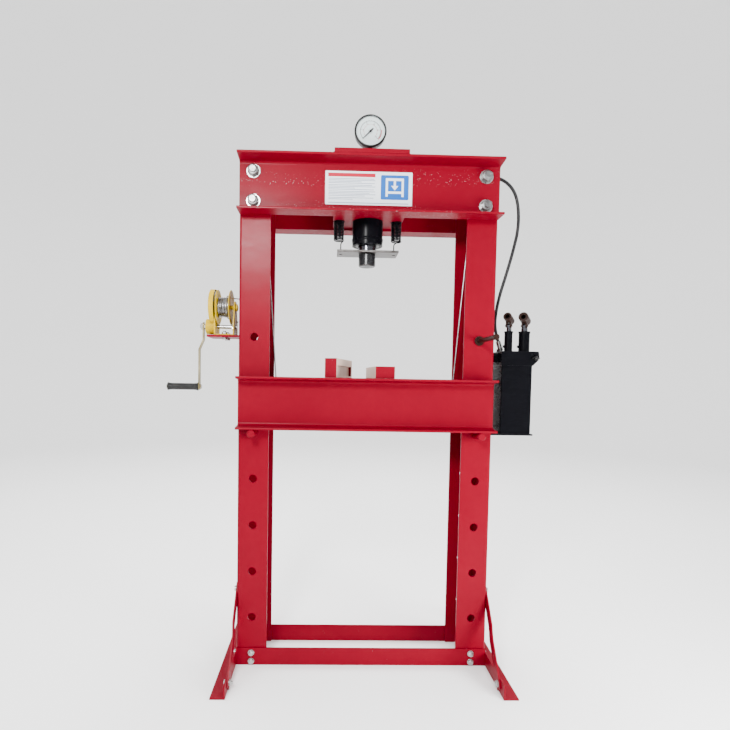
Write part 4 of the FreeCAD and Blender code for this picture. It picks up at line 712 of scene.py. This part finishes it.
class PRESS_OT_fasteners(bpy.types.Operator):
    """Make the crosshead's studs, nuts and washers, and the smaller bolts of the frame"""

    bl_idname = "press.fasteners"
    bl_label = "Studs, bolts and nuts"

    def execute(self, context):
        parts = []
        for x in (-BOLT_X, BOLT_X):
            for z in BOLT_Z:
                for side in (-1, 1):
                    out = (0, side, 0)
                    parts.append(washer((x, side * WEB_FACE, z), out, 25, 4, 12))
                    parts.append((*hexagon((x, side * (WEB_FACE + 4), z), out, 36, 19), 1))
                    parts.append((*thread((x, side * (WEB_FACE + 22.5), z), out, 11.9, 9.5, 3.0), 1))
                parts.append(turned([(0, 12), (2 * WEB_FACE, 12)], (x, -WEB_FACE, z), (0, 1, 0), 32))
        build("crosshead_studs", parts, "frame", coats("zinc", "nut_steel"), "zinc", ("crosshead_bolts",))
        small = []
        for side in (-1, 1):
            ends = [((side * COLUMN_X, y0, z), (side * COLUMN_X, y1, z))
                    for z in (15, 47) for y0, y1 in ((-98, -84), (98, 84))]
            ends += [((side * 480, y, z), (side * 467, y, z)) for y in (-60, 60) for z in (30, 280)]
            ends += [((side * 480, y, 28), (side * 470, y, 28)) for y in (-265, 265)]
            small += [part for head, tail in ends for part in self.bolt(head, tail)]
        for y in (-30, 30):
            small += self.bolt((-538, y, 1238), (-538, y, 1250))
        build("frame_fasteners", small, "frame", coats("zinc"), "zinc", ("frame_bolts",))
        return {"FINISHED"}

    @staticmethod
    def bolt(head, tail):
        """A bolt's washers, head, nut and shank; the head stands on one point and the nut on the other."""
        head, tail = np.array(head, float), np.array(tail, float)
        span = np.linalg.norm(tail - head)
        ahead = (tail - head) / span
        return [washer(head - 2 * ahead, ahead, 12, 2, 6), hexagon(head - 8 * ahead, ahead, 19, 6, 0.1, 48),
                washer(tail, ahead, 12, 2, 6), hexagon(tail + 2 * ahead, ahead, 19, 6, 0.16, 48),
                turned([(0, 6), (span + 9, 6)], head - ahead, ahead, 24),
                thread(tail + 8 * ahead, ahead, 5.95, 4.5, 1.75)]


class PRESS_OT_cylinder(bpy.types.Operator):
    """Dress the cylinder, the ram, its plate and its nose"""

    bl_idname = "press.cylinder"
    bl_label = "Cylinder and ram"

    def execute(self, context):
        dress(("cylinder_body", "black black_edge", 1.6, 3), ("ram_plate", "plate_steel brown_steel", 0.9),
              ("ram_nose", "case plate_steel", 0.9, 3))
        repaint("cylinder_gland", "dark_steel")
        repaint("ram", "chrome")
        ring = [(0, 58.0), (0, 58.9), (1.2, 59.4), (7.4, 59.4), (8.6, 58.9), (8.6, 58.0)]
        ridges = [turned(ring, (0, 0, 1612), (0, 0, 1), 72)]
        # a weld ring where the bottom collar meets the tube
        angle = np.linspace(0, 2 * np.pi, 181)
        line = xyz(58.4 * np.cos(angle), 58.4 * np.sin(angle), 1622.0)
        ripple = 1.7 + 0.35 * np.abs(np.sin(angle * 42))
        ridges.append(tube(line, ripple, 8, (0, 0, 1)))
        build("cylinder_collar", ridges, "frame", coats("black"), node_slot("cylinder_body"))
        return {"FINISHED"}


class PRESS_OT_springs(bpy.types.Operator):
    """Wind the two return springs, each from its hanger pin to its hole in the ram plate"""

    bl_idname = "press.springs"
    bl_label = "Return springs"

    def execute(self, context):
        coils = context.scene.press_looks.spring_coils
        wire, outer = 2.3, 20.0
        turn = outer - wire
        parts = []
        for side in (-1, 1):
            centre, hook = side * SPRING_X, side * (SPRING_X - 8)
            share = np.linspace(0, 1, coils * 20)
            angle = share * coils * 2 * np.pi
            # the helix: height grows evenly with angle at one radius
            helix = xyz(centre + turn * np.cos(angle), turn * np.sin(angle), 1617.5 + share * 152)
            lower = self.lead((hook, 0, 1568.5), (hook, 0, 1602), helix[0], helix[1] - helix[0])
            upper = self.lead((centre, 0, 1793.5), (centre, 0, 1786), helix[-1], helix[-2] - helix[-1])
            line = np.vstack([lower, helix[1:-1], upper[::-1]])
            parts.append(tube(even(line, 2.2), wire, 10, (0.05, 0.03, 1)))
            # an open eye over the hanger pin
            eye = arc(centre, 1800, 8.4, np.linspace(-0.5 * np.pi, 1.35 * np.pi, 40))
            parts.append(tube(eye, wire, 10, (0, 1, 0)))
        springs = build("return_coils", parts, "frame", coats("black"), node_slot("return_springs"),
                        ("return_springs",), ride=False)
        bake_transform(springs)
        return {"FINISHED"}

    @staticmethod
    def lead(start, bend, end, ahead):
        """A cubic from a straight shank into the coil's first point, along the coil's own direction."""
        start, bend, end = (np.array(p, float) for p in (start, bend, end))
        ahead = ahead / np.linalg.norm(ahead)
        share = np.linspace(0, 1, 24)[:, None]
        reach = np.linalg.norm(end - bend) * 0.9
        out = (bend - start) / np.linalg.norm(bend - start)
        a, b, c, d = bend, bend + out * reach * 0.5, end - ahead * reach, end
        cubic = ((1 - share) ** 3 * a + 3 * (1 - share) ** 2 * share * b + 3 * (1 - share) * share ** 2 * c
                 + share ** 3 * d)
        return np.vstack([start, cubic])


class PRESS_OT_gauge(bpy.types.Operator):
    """Turn the gauge's case and stem, and print its dial"""

    bl_idname = "press.gauge"
    bl_label = "Pressure gauge"

    def execute(self, context):
        front = GAUGE_Y - 19
        case = [(0, 53.2), (0, 54.5), (0.9, 57.5), (3.2, 59.6), (6.0, 60.0), (8.4, 59.2), (9.4, 58.0),
                (31, 58.0), (35, 56.6), (37.4, 53), (38, 47), (38, 20), (35.8, 20), (35.5, 55.3),
                (9.6, 55.5), (8.0, 55.4), (8.0, 53.2)]
        stem = [(0, 9), (15.7, 9), (16, 17.2), (17, 18), (28.6, 18), (30, 16.5), (31, 9.6), (38, 9.2),
                (56, 9.2), (57, 9), (67, 9)]
        parts = [turned(case, (0, front, GAUGE_Z), (0, 1, 0), 96, ring=True),
                 turned([(0, 22), (2, 22), (2.4, 4)], (0, front + 35.7, GAUGE_Z), (0, 1, 0), 48),
                 (*turned(stem, (0, GAUGE_Y, CROSSHEAD_TOP), (0, 0, 1), 40), 1),
                 (*hexagon((0, GAUGE_Y, CROSSHEAD_TOP + 38), (0, 0, 1), 23.4, 18), 1)]
        build("gauge_shell", parts, "frame", coats("case", "brown_steel"), node_slot("gauge_case"),
              ("gauge_case",))
        repaint("gauge_dial", "dial_white")
        repaint("gauge_glass", "glass")
        repaint("gauge_needle", "ink")
        self.print_dial(context.scene.press_looks.dial_marks, front + 8 - 0.02)
        return {"FINISHED"}

    @staticmethod
    def sector(face, inner, outer, start, end, number, thick=0.12):
        """A strip of a ring between two angles, clockwise from straight up, standing off the dial."""
        angle = np.radians(np.linspace(start, end, max(2, int(abs(end - start) / 4) + 2)))
        ends = [xyz(radius * np.sin(angle), face + depth, GAUGE_Z + radius * np.cos(angle))
                for depth, radius in ((0, inner), (0, outer), (-thick, outer), (-thick, inner))]
        return (*shell(np.stack(ends, 1)), number)

    def print_dial(self, marks, face):
        """The scale's arcs, its marks and its numbers on the dial."""
        sweep, start = 270.0, -135.0
        parts = [self.sector(face, 37.2, 38.6, start, start + sweep, 0),
                 self.sector(face, 39.4, 42.4, start + sweep * 0.8, start + sweep, 1),
                 self.sector(face, 24.3, 25.1, start, start + sweep, 1)]
        for mark in range(marks + 1):
            middle = start + sweep * mark / marks
            long = mark % 10 == 0
            half = 1.1 if long else 0.55
            inner = 32.0 if long else (34.2 if mark % 5 == 0 else 35.6)
            parts.append(self.sector(face, inner, 38.0, middle - half, middle + half, 0))
        for mark in range(0, 28):
            middle = start + sweep * mark / 27
            parts.append(self.sector(face, 25.0, 26.4, middle - 0.8, middle + 0.8, 1))
        parts.append(self.sector(face, 7.4, 8.0, 0, 360, 0))
        build("dial_scale", parts, "frame", coats("ink", "ink_red"), "dial")
        made = bmesh.new()
        for step in range(6):
            turn = math.radians(start + sweep * step / 5)
            numeral_spot = (27.84 * math.sin(turn), face, GAUGE_Z + 27.84 * math.cos(turn))
            stamp(made, str(step * 20), numeral_spot, 6.4)
        mesh = bpy.data.meshes.new("dial_numbers")
        made.to_mesh(mesh)
        made.free()
        mesh.materials.append(finish("ink"))
        place("dial_numbers", mesh, "frame", "dial")


def stamp(work, words, spot, size):
    """Add generic numerals, as thin solid letters that face the operator, to a mesh being built."""
    letters = settle(bpy.data.curves.new("numerals", "FONT"), body=words, size=size * MM, align_x="CENTER",
                     align_y="CENTER", extrude=0.06 * MM, resolution_u=3)
    holder = linked("numerals", letters)
    bpy.context.view_layer.update()
    mesh = bpy.data.meshes.new_from_object(holder)
    mesh.transform(Matrix.Translation(Vector(spot) * MM) @ Matrix.Rotation(math.pi / 2, 4, "X"))
    work.from_mesh(mesh)
    bpy.data.objects.remove(holder)
    bpy.data.curves.remove(letters)
    bpy.data.meshes.remove(mesh)


class PRESS_OT_label(bpy.types.Operator):
    """Fix the plain label plate to the crosshead: a red head, grey rules and a press pictogram on blue"""

    bl_idname = "press.label"
    bl_label = "Label plate"

    def execute(self, context):
        face = -WEB_FACE
        parts = [self.rounded(-164, 1722, 153, 1842, 3, face, 0.7, 0),
                 self.rounded(-154, 1822, 18, 1835, 0.6, face - 0.7, 0.15, 1),
                 self.rounded(38, 1743, 140, 1831, 5, face - 0.7, 0.15, 2)]
        row = 1816.0
        lengths = (166, 170, 120, 168, 158, 171, 96, 165, 170, 149, 171, 132, 164, 88)
        for count, length in enumerate(lengths):
            parts.append(self.rounded(-152, row - 2.0, -152 + length, row, 0.3, face - 0.7, 0.1, 3))
            row -= 5.2 if count % 4 != 3 else 7.0
        parts.append(self.rounded(-152, 1728, 140, 1730.4, 0.3, face - 0.7, 0.1, 3))
        # the pictogram: two posts, a crosshead, a bed and an arrow pointing down
        lift = face - 0.85
        for x0, z0, x1, z1 in ((56, 1754, 64, 1811), (114, 1754, 122, 1811), (56, 1811, 122, 1820),
                               (64, 1765, 114, 1773), (85, 1793, 93, 1811)):
            parts.append(self.rounded(x0, z0, x1, z1, 0.5, lift, 0.12, 0))
        tip = np.array([[76, 1793], [102, 1793], [89, 1777], [88.9, 1777]], float)
        grid = [xyz(tip[:, 0], lift - depth, tip[:, 1]) for depth in (0, 0.12)]
        parts.append(shell(np.stack(grid)))
        build("label_plate", parts, "frame", coats("white", "ink_red", "ink_blue", "ink_grey"), "dial",
              sharp=30)
        return {"FINISHED"}

    @staticmethod
    def rounded(x0, z0, x1, z1, corner, face, thick, number):
        """A thin rectangle with rounded corners: each corner is a quarter circle of 7 points."""
        angle = np.linspace(0, np.pi / 2, 7)
        line = np.vstack([
            np.stack([cx + corner * np.cos(bearing), cz + corner * np.sin(bearing)], -1)
            for cx, cz, bearing in ((x1 - corner, z1 - corner, angle),
                                    (x0 + corner, z1 - corner, angle + np.pi / 2),
                                    (x0 + corner, z0 + corner, angle + np.pi),
                                    (x1 - corner, z0 + corner, angle + 3 * np.pi / 2))])
        edge = min(0.12, thick / 2)
        inward = line.mean(0) - line
        inward *= edge / np.linalg.norm(inward, axis=1)[:, None]
        rows = [xyz(spot[:, 0], face - depth, spot[:, 1])
                for depth, spot in ((0, line), (thick - edge, line), (thick, line + inward))]
        return (*shell(np.stack(rows)), number)


class PRESS_OT_bed(bpy.types.Operator):
    """Dress the bed's channels, its spacers and the two pins under it"""

    bl_idname = "press.bed"
    bl_label = "Bed and pins"

    def execute(self, context):
        dress(("bed_front bed_rear", "red red_edge", 1.1), ("bed_spacers", "red_worn red_edge", 0.8),
              ("bed_pin_left bed_pin_right", "red_worn red_edge", 0.5),
              ("pulley_top pulley_bed_left pulley_bed_right", "cast", 0.4))
        beads = [bead((x - math.copysign(10.3, x), y, 920), (x - math.copysign(10.3, x), y, 1072), 3.0,
                      seed=x * 0.01 + y)
                 for x in (-270, 270) for y in (-92.6, 92.6)]
        build("bed_welds", beads, "bed", coats("red_worn"), "bed_paint")
        return {"FINISHED"}


class PRESS_OT_blocks(bpy.types.Operator):
    """Dress the two press blocks: red ends, tops and outer sides, and pale taupe inner sides and undersides
    """

    bl_idname = "press.blocks"
    bl_label = "Press blocks"

    def execute(self, context):
        for node, out in (("block_left", -1), ("block_right", 1)):
            mesh = softened(node, coats("side_taupe", "side_taupe"), 1.2, 3).data
            mesh.materials.append(finish("red_worn"))
            normals = np.zeros(len(mesh.polygons) * 3)
            mesh.polygons.foreach_get("normal", normals)
            x, y, z = normals.reshape(-1, 3).T
            # the ends, the tops and the outer sides are red; every other face is pale taupe
            painted = (np.abs(y) > 0.8) | (z > 0.8) | (x * out > 0.8)
            mesh.polygons.foreach_set("material_index", np.where(painted, 2, 0).astype(np.int32))
        return {"FINISHED"}


class PRESS_OT_winch(bpy.types.Operator):
    """Dress the winch: shelf, bracket, cover, drum, gears, pawl and crank, and turn its grip"""

    bl_idname = "press.winch"
    bl_label = "Winch"

    def execute(self, context):
        dress(("winch_shelf", "red_worn red_edge", 0.8), ("winch_frame", "yellow yellow_edge", 0.7),
              ("gear_cover", "yellow yellow_edge", 1.6, 4), ("winch_drum", "yellow yellow_edge", 0.5),
              ("drum_gear", "steel", 0.25), ("pinion_shaft", "zinc", 0.4),
              ("winch_pawl", "yellow_zinc", 0.5), ("crank_arm", "yellow_zinc", 0.9, 3))
        start, end = (corner.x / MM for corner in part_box("crank_grip"))
        length = end - start
        # the grip's outside: radius 13.3 less 0.45 (1 - cos) for shallow rings, plus a flare at each end
        along = np.linspace(0, length, 170)
        rings = 13.3 - 0.45 * (1 - np.cos(2 * np.pi * along / 7.4)) * (np.abs(along - length / 2) < 46)
        nearest = np.minimum(along, length - along)
        flare = 2.2 * np.exp(-((nearest - 2.5) / 3.2) ** 2)
        ends = np.minimum(1, nearest / 1.5)
        outside = np.stack([along, (rings + flare) * (0.93 + 0.07 * np.sqrt(ends))], -1)
        inside = np.array([(length, 5.05), (length / 2, 5.05), (0, 5.05)])
        parts = [turned(np.vstack([outside, inside]), (start, 0, GRIP_Z), (1, 0, 0), 40, ring=True)]
        build("winch_grip", parts, "grip", coats("grip"), "grip", ("crank_grip",))
        build("spindle_nut", [hexagon((-637, 0, GRIP_Z), (1, 0, 0), 15, 5.5, 0.2, 48)], "crank",
              coats("zinc"), "zinc")
        beads = [bead((-476, -52, 1237.6), (-476, 52, 1237.6), 4.0, seed=0.4),
                 bead((-476, -52, 1246.4), (-476, -47, 1246.4), 3.0, seed=1.4)]
        build("shelf_welds", beads, "frame", coats("red_worn"), "frame_paint")
        return {"FINISHED"}


class PRESS_OT_ropes(bpy.types.Operator):
    """Wind and reeve the wire rope: on the drum, up the column, over the pulleys and under the bed"""

    bl_idname = "press.ropes"
    bl_label = "Wire rope"

    def execute(self, context):
        looks = context.scene.press_looks
        twist = looks.rope_strands, looks.rope_lay
        wire = {"finishes": coats("wire"), "slot": "rope", "sharp": 70}
        upright = (0, 1, 0)
        wound = self.wound_line()
        build("rope_on_drum", [tube(even(wound, 2.6), 2.35, 12, (1, 0.02, 0.03), *twist, 0.2)], "drum",
              replaces=("wound_rope",), **wire)
        build("rope_to_pulley", [tube(even(self.lead_line(wound[-1]), 2.0), ROPE, 24, (1, -1, 1), *twist)],
              "frame", replaces=("rope_lead",), **wire)
        falls = [tube(even(ends, 2.2), ROPE, 24, upright, *twist)
                 for ends in (((-BED_PULLEY_X - PULLEY_TURN, 0, BED_PULLEY_Z),
                               (-COLUMN_X + PULLEY_TURN, 0, PULLEY_Z)),
                              ((BED_PULLEY_X + PULLEY_TURN, 0, BED_PULLEY_Z), (400, 0, PULLEY_Z - 8.3)))]
        # an eye and a clamp where the rope ends on its pin
        eye = arc(404, PULLEY_Z, 11.2, np.linspace(0, 2 * np.pi, 60))
        falls.append(tube(eye, ROPE, 16, upright, *twist))
        ropes = build("rope_falls_strands", falls, "frame", replaces=("rope_falls",), ride=False, **wire)
        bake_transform(ropes)
        build("rope_clamp", [turned([(0, 5.4), (0.6, 6.0), (15.4, 6.0), (16, 5.4)], (398.6, 0, 1746),
                                    (0.0715, 0, 0.9974), 24)], "frame", coats("zinc"), "zinc")
        left = arc(-BED_PULLEY_X, BED_PULLEY_Z, -PULLEY_TURN, np.linspace(0, np.pi / 2, 24))
        under = np.vstack([left, left[::-1] * (-1, 1, 1)])
        build("rope_under_bed", [tube(even(under, 2.2), ROPE, 24, upright, *twist)], "bed",
              replaces=("rope_bed_run",), **wire)
        return {"FINISHED"}

    @staticmethod
    def wound_line():
        """The rope on the drum.

        The angle falls evenly to the drum's top, the place along it runs to and fro between the flanges,
        the radius climbs a layer at each end, and small sines make the turns uneven.
        """
        turns, layer_turns = 38.0, 9.5
        share = np.linspace(0, turns, 2800)
        layer = share / layer_turns
        left, right = DRUM_LEFT + FLANGE + 3.2, DRUM_RIGHT - FLANGE - 3.2
        fro = np.abs(layer % 2 - 1)
        along = left + (right - left) * fro
        climb = np.clip((layer % 1 - 0.94) / 0.06, 0, 1)
        radius = 23.4 + 4.2 * (np.floor(layer) + climb * climb * (3 - 2 * climb))
        uneven = np.clip((layer - 1) / 2, 0, 1)
        along = along + uneven * (1.1 * np.sin(share * 1.9) + 0.9 * np.sin(share * 3.1 + 1))
        radius = radius + uneven * (0.7 * np.sin(share * 2.7) + 0.5 * np.sin(share * 5.3 + 2))
        # the last turn lifts to the lead's line
        last = np.clip((share - (turns - 1.6)) / 1.6, 0, 1)
        last = last * last * (3 - 2 * last)
        along = along + ((DRUM_LEFT + DRUM_RIGHT) / 2 + 12 - along) * last
        radius = radius + (LEAD_Z - DRUM_Z - radius) * last
        along = np.clip(along, left, right)
        angle = np.pi / 2 + 2 * np.pi * (turns - share)
        return xyz(along, radius * np.cos(angle), DRUM_Z + radius * np.sin(angle))

    @staticmethod
    def lead_line(start):
        """From the drum through the column's hole, up inside it, and half round the top pulley."""
        x = start[0]
        inside = -COLUMN_X - PULLEY_TURN
        points = [(x, 0, LEAD_Z), (x, 50, LEAD_Z + 1), (x + 20, FAIRLEAD_Y - 1, LEAD_Z),
                  (-455, FAIRLEAD_Y, LEAD_Z), (inside, FAIRLEAD_Y - 8, LEAD_Z + 30),
                  (inside - 0.5, FAIRLEAD_Y / 2, LEAD_Z + 110), (inside, 0, LEAD_Z + 200),
                  (inside, 0, PULLEY_Z)]
        line = nurbs_line(np.array(points) * MM) / MM
        over = arc(-COLUMN_X, PULLEY_Z, PULLEY_TURN, np.linspace(np.pi, 0, 60)[1:])
        return np.vstack([line, over])


class PRESS_OT_pump(bpy.types.Operator):
    """Dress the hand pump: tank, head, barrels, plungers, sockets, valve and shelf"""

    bl_idname = "press.pump"
    bl_label = "Hand pump"

    def execute(self, context):
        dress(("pump_tank pump_head", "black black_edge", 1.2, 3), ("pump_shelf", "black black_edge", 0.7),
              ("pump_barrels", "black black_edge", 0.8), ("pump_links release_valve", "dark_steel", 0.7),
              ("socket_small socket_large", "brown_steel", 1.1, 3),
              ("plunger_small plunger_large", "chrome", 0.4))
        return {"FINISHED"}


class PRESS_OT_lever(bpy.types.Operator):
    """Dress the pump's lever, stored in the right column"""

    bl_idname = "press.lever"
    bl_label = "Pump lever"

    def execute(self, context):
        dress(("pump_lever", "brown_steel", 0.7))
        return {"FINISHED"}


class PRESS_OT_stage(bpy.types.Operator):
    """Lay the pale floor and backdrop, hang the soft lights and set the camera"""

    bl_idname = "press.stage"
    bl_label = "Floor, light and camera"

    def execute(self, context):
        stage = context.scene.press_stage
        self.floor(tuple(stage.floor_colour))
        world = bpy.data.worlds.new("studio")
        world.use_nodes = True
        sky = world.node_tree.nodes["Background"]
        sky.inputs["Color"].default_value = (1.0, 1.0, 1.0, 1.0)
        sky.inputs["Strength"].default_value = stage.sky
        context.scene.world = world
        self.light("key", (1.5, -1.4, 0.7), (0.2, -0.1, 0.85), 0.8, stage.key, shine=False)
        self.light("glare", (-0.72, -2.3, 2.15), (-0.4, 0.0, 1.6), 0.4, stage.glare)
        self.light("ceiling", (0.0, 1.6, 5.0), (0.0, 1.6, 0.0), 4.0, stage.ceiling, shine=False)
        self.camera(stage.focal)
        return {"FINISHED"}

    @staticmethod
    def floor(colour):
        """A round floor that curves up into a wall: a flat run, a quarter circle and an upright, turned
        once round the vertical axis."""
        bend = np.linspace(0, np.pi / 2, 16)
        flat, curve, top = 7.0, 3.0, 11.5
        reach = np.concatenate([[0.4], flat + curve * np.sin(bend), [flat + curve]])
        height = np.concatenate([[0.0], curve * (1 - np.cos(bend)), [top]])
        angle = np.linspace(0, 2 * np.pi, 97)[:-1]
        points, quads, triangles = shell(xyz(reach[:, None] * np.cos(angle), reach[:, None] * np.sin(angle),
                                             height[:, None]))
        # the cap over the rim goes, and the faces turn to look inwards
        mesh = bpy.data.meshes.new("floor")
        mesh.from_pydata(points[:-1].tolist(), [],
                         quads[:, ::-1].tolist() + triangles[:len(angle), ::-1].tolist())
        mesh.polygons.foreach_set("use_smooth", np.ones(len(mesh.polygons), bool))
        made = Recipe("studio_floor", Specular_IOR_Level=0.1, Roughness=0.7)
        tone = made.noise(0.8, 3.0)
        mesh.materials.append(made.give(Base_Color=made.blend(tone, colour, lighter(colour, 0.15))))
        linked("floor", mesh)

    @staticmethod
    def light(name, spot, aim, size, power, shine=True):
        """A square soft light that faces a point; without shine it leaves no reflection."""
        lamp = settle(bpy.data.lights.new(name, "AREA"), shape="SQUARE", size=size, energy=power)
        facing = (Vector(aim) - Vector(spot)).to_track_quat("-Z", "Y").to_euler()
        settle(linked(name, lamp), location=spot, rotation_euler=facing, visible_camera=False,
               visible_glossy=shine)

    @staticmethod
    def camera(focal):
        """The camera: yaw and pitch turn the view, roll turns the picture, and the shift frames it."""
        yaw, pitch, roll = -0.0234, -0.0491, 0.0169
        turn = Matrix.Rotation(yaw, 3, "Z")
        ahead = turn @ Vector((0, math.cos(pitch), math.sin(pitch)))
        right = turn @ Vector((1, 0, 0))
        up = right.cross(ahead)
        across = right * math.cos(roll) + up * math.sin(roll)
        upright = up * math.cos(roll) - right * math.sin(roll)
        view = settle(bpy.data.cameras.new("camera"), sensor_width=36, lens=focal, shift_x=0.03526,
                      shift_y=0.05399)
        holder = linked("camera", view)
        basis = Matrix((across, upright, -ahead)).transposed().to_4x4()
        holder.matrix_world = Matrix.Translation((-0.14593, -2.0719, 1.09029)) @ basis
        bpy.context.scene.camera = holder


class PRESS_PT_panel(bpy.types.Panel):
    """Lists the press's pieces and settings in the sidebar"""

    bl_idname = "PRESS_PT_panel"
    bl_label = "Shop Press"
    bl_space_type = "VIEW_3D"
    bl_region_type = "UI"
    bl_category = "Shop Press"

    def draw(self, context):
        looks, stage = context.scene.press_looks, context.scene.press_stage
        for group in (looks, stage):
            box = self.layout.box()
            for name in group.__annotations__:
                box.prop(group, name)
        for operator in OPERATORS:
            self.layout.operator(operator.bl_idname)


OPERATORS = (PRESS_OT_stage, PRESS_OT_hose, PRESS_OT_frame, PRESS_OT_base, PRESS_OT_fasteners,
             PRESS_OT_cylinder, PRESS_OT_springs, PRESS_OT_gauge, PRESS_OT_label, PRESS_OT_bed,
             PRESS_OT_blocks, PRESS_OT_winch, PRESS_OT_ropes, PRESS_OT_pump, PRESS_OT_lever)
CLASSES = (PressLooks, StageSettings, *OPERATORS, PRESS_PT_panel)


def register():
    for cls in CLASSES:
        bpy.utils.register_class(cls)
    bpy.types.Scene.press_looks = PointerProperty(type=PressLooks)
    bpy.types.Scene.press_stage = PointerProperty(type=StageSettings)


def unregister():
    del bpy.types.Scene.press_stage
    del bpy.types.Scene.press_looks
    for cls in reversed(CLASSES):
        bpy.utils.unregister_class(cls)


def main():
    register()
    for operator in OPERATORS:
        group, name = operator.bl_idname.split(".")
        getattr(getattr(bpy.ops, group), name)()


if __name__ == "__main__":
    main()
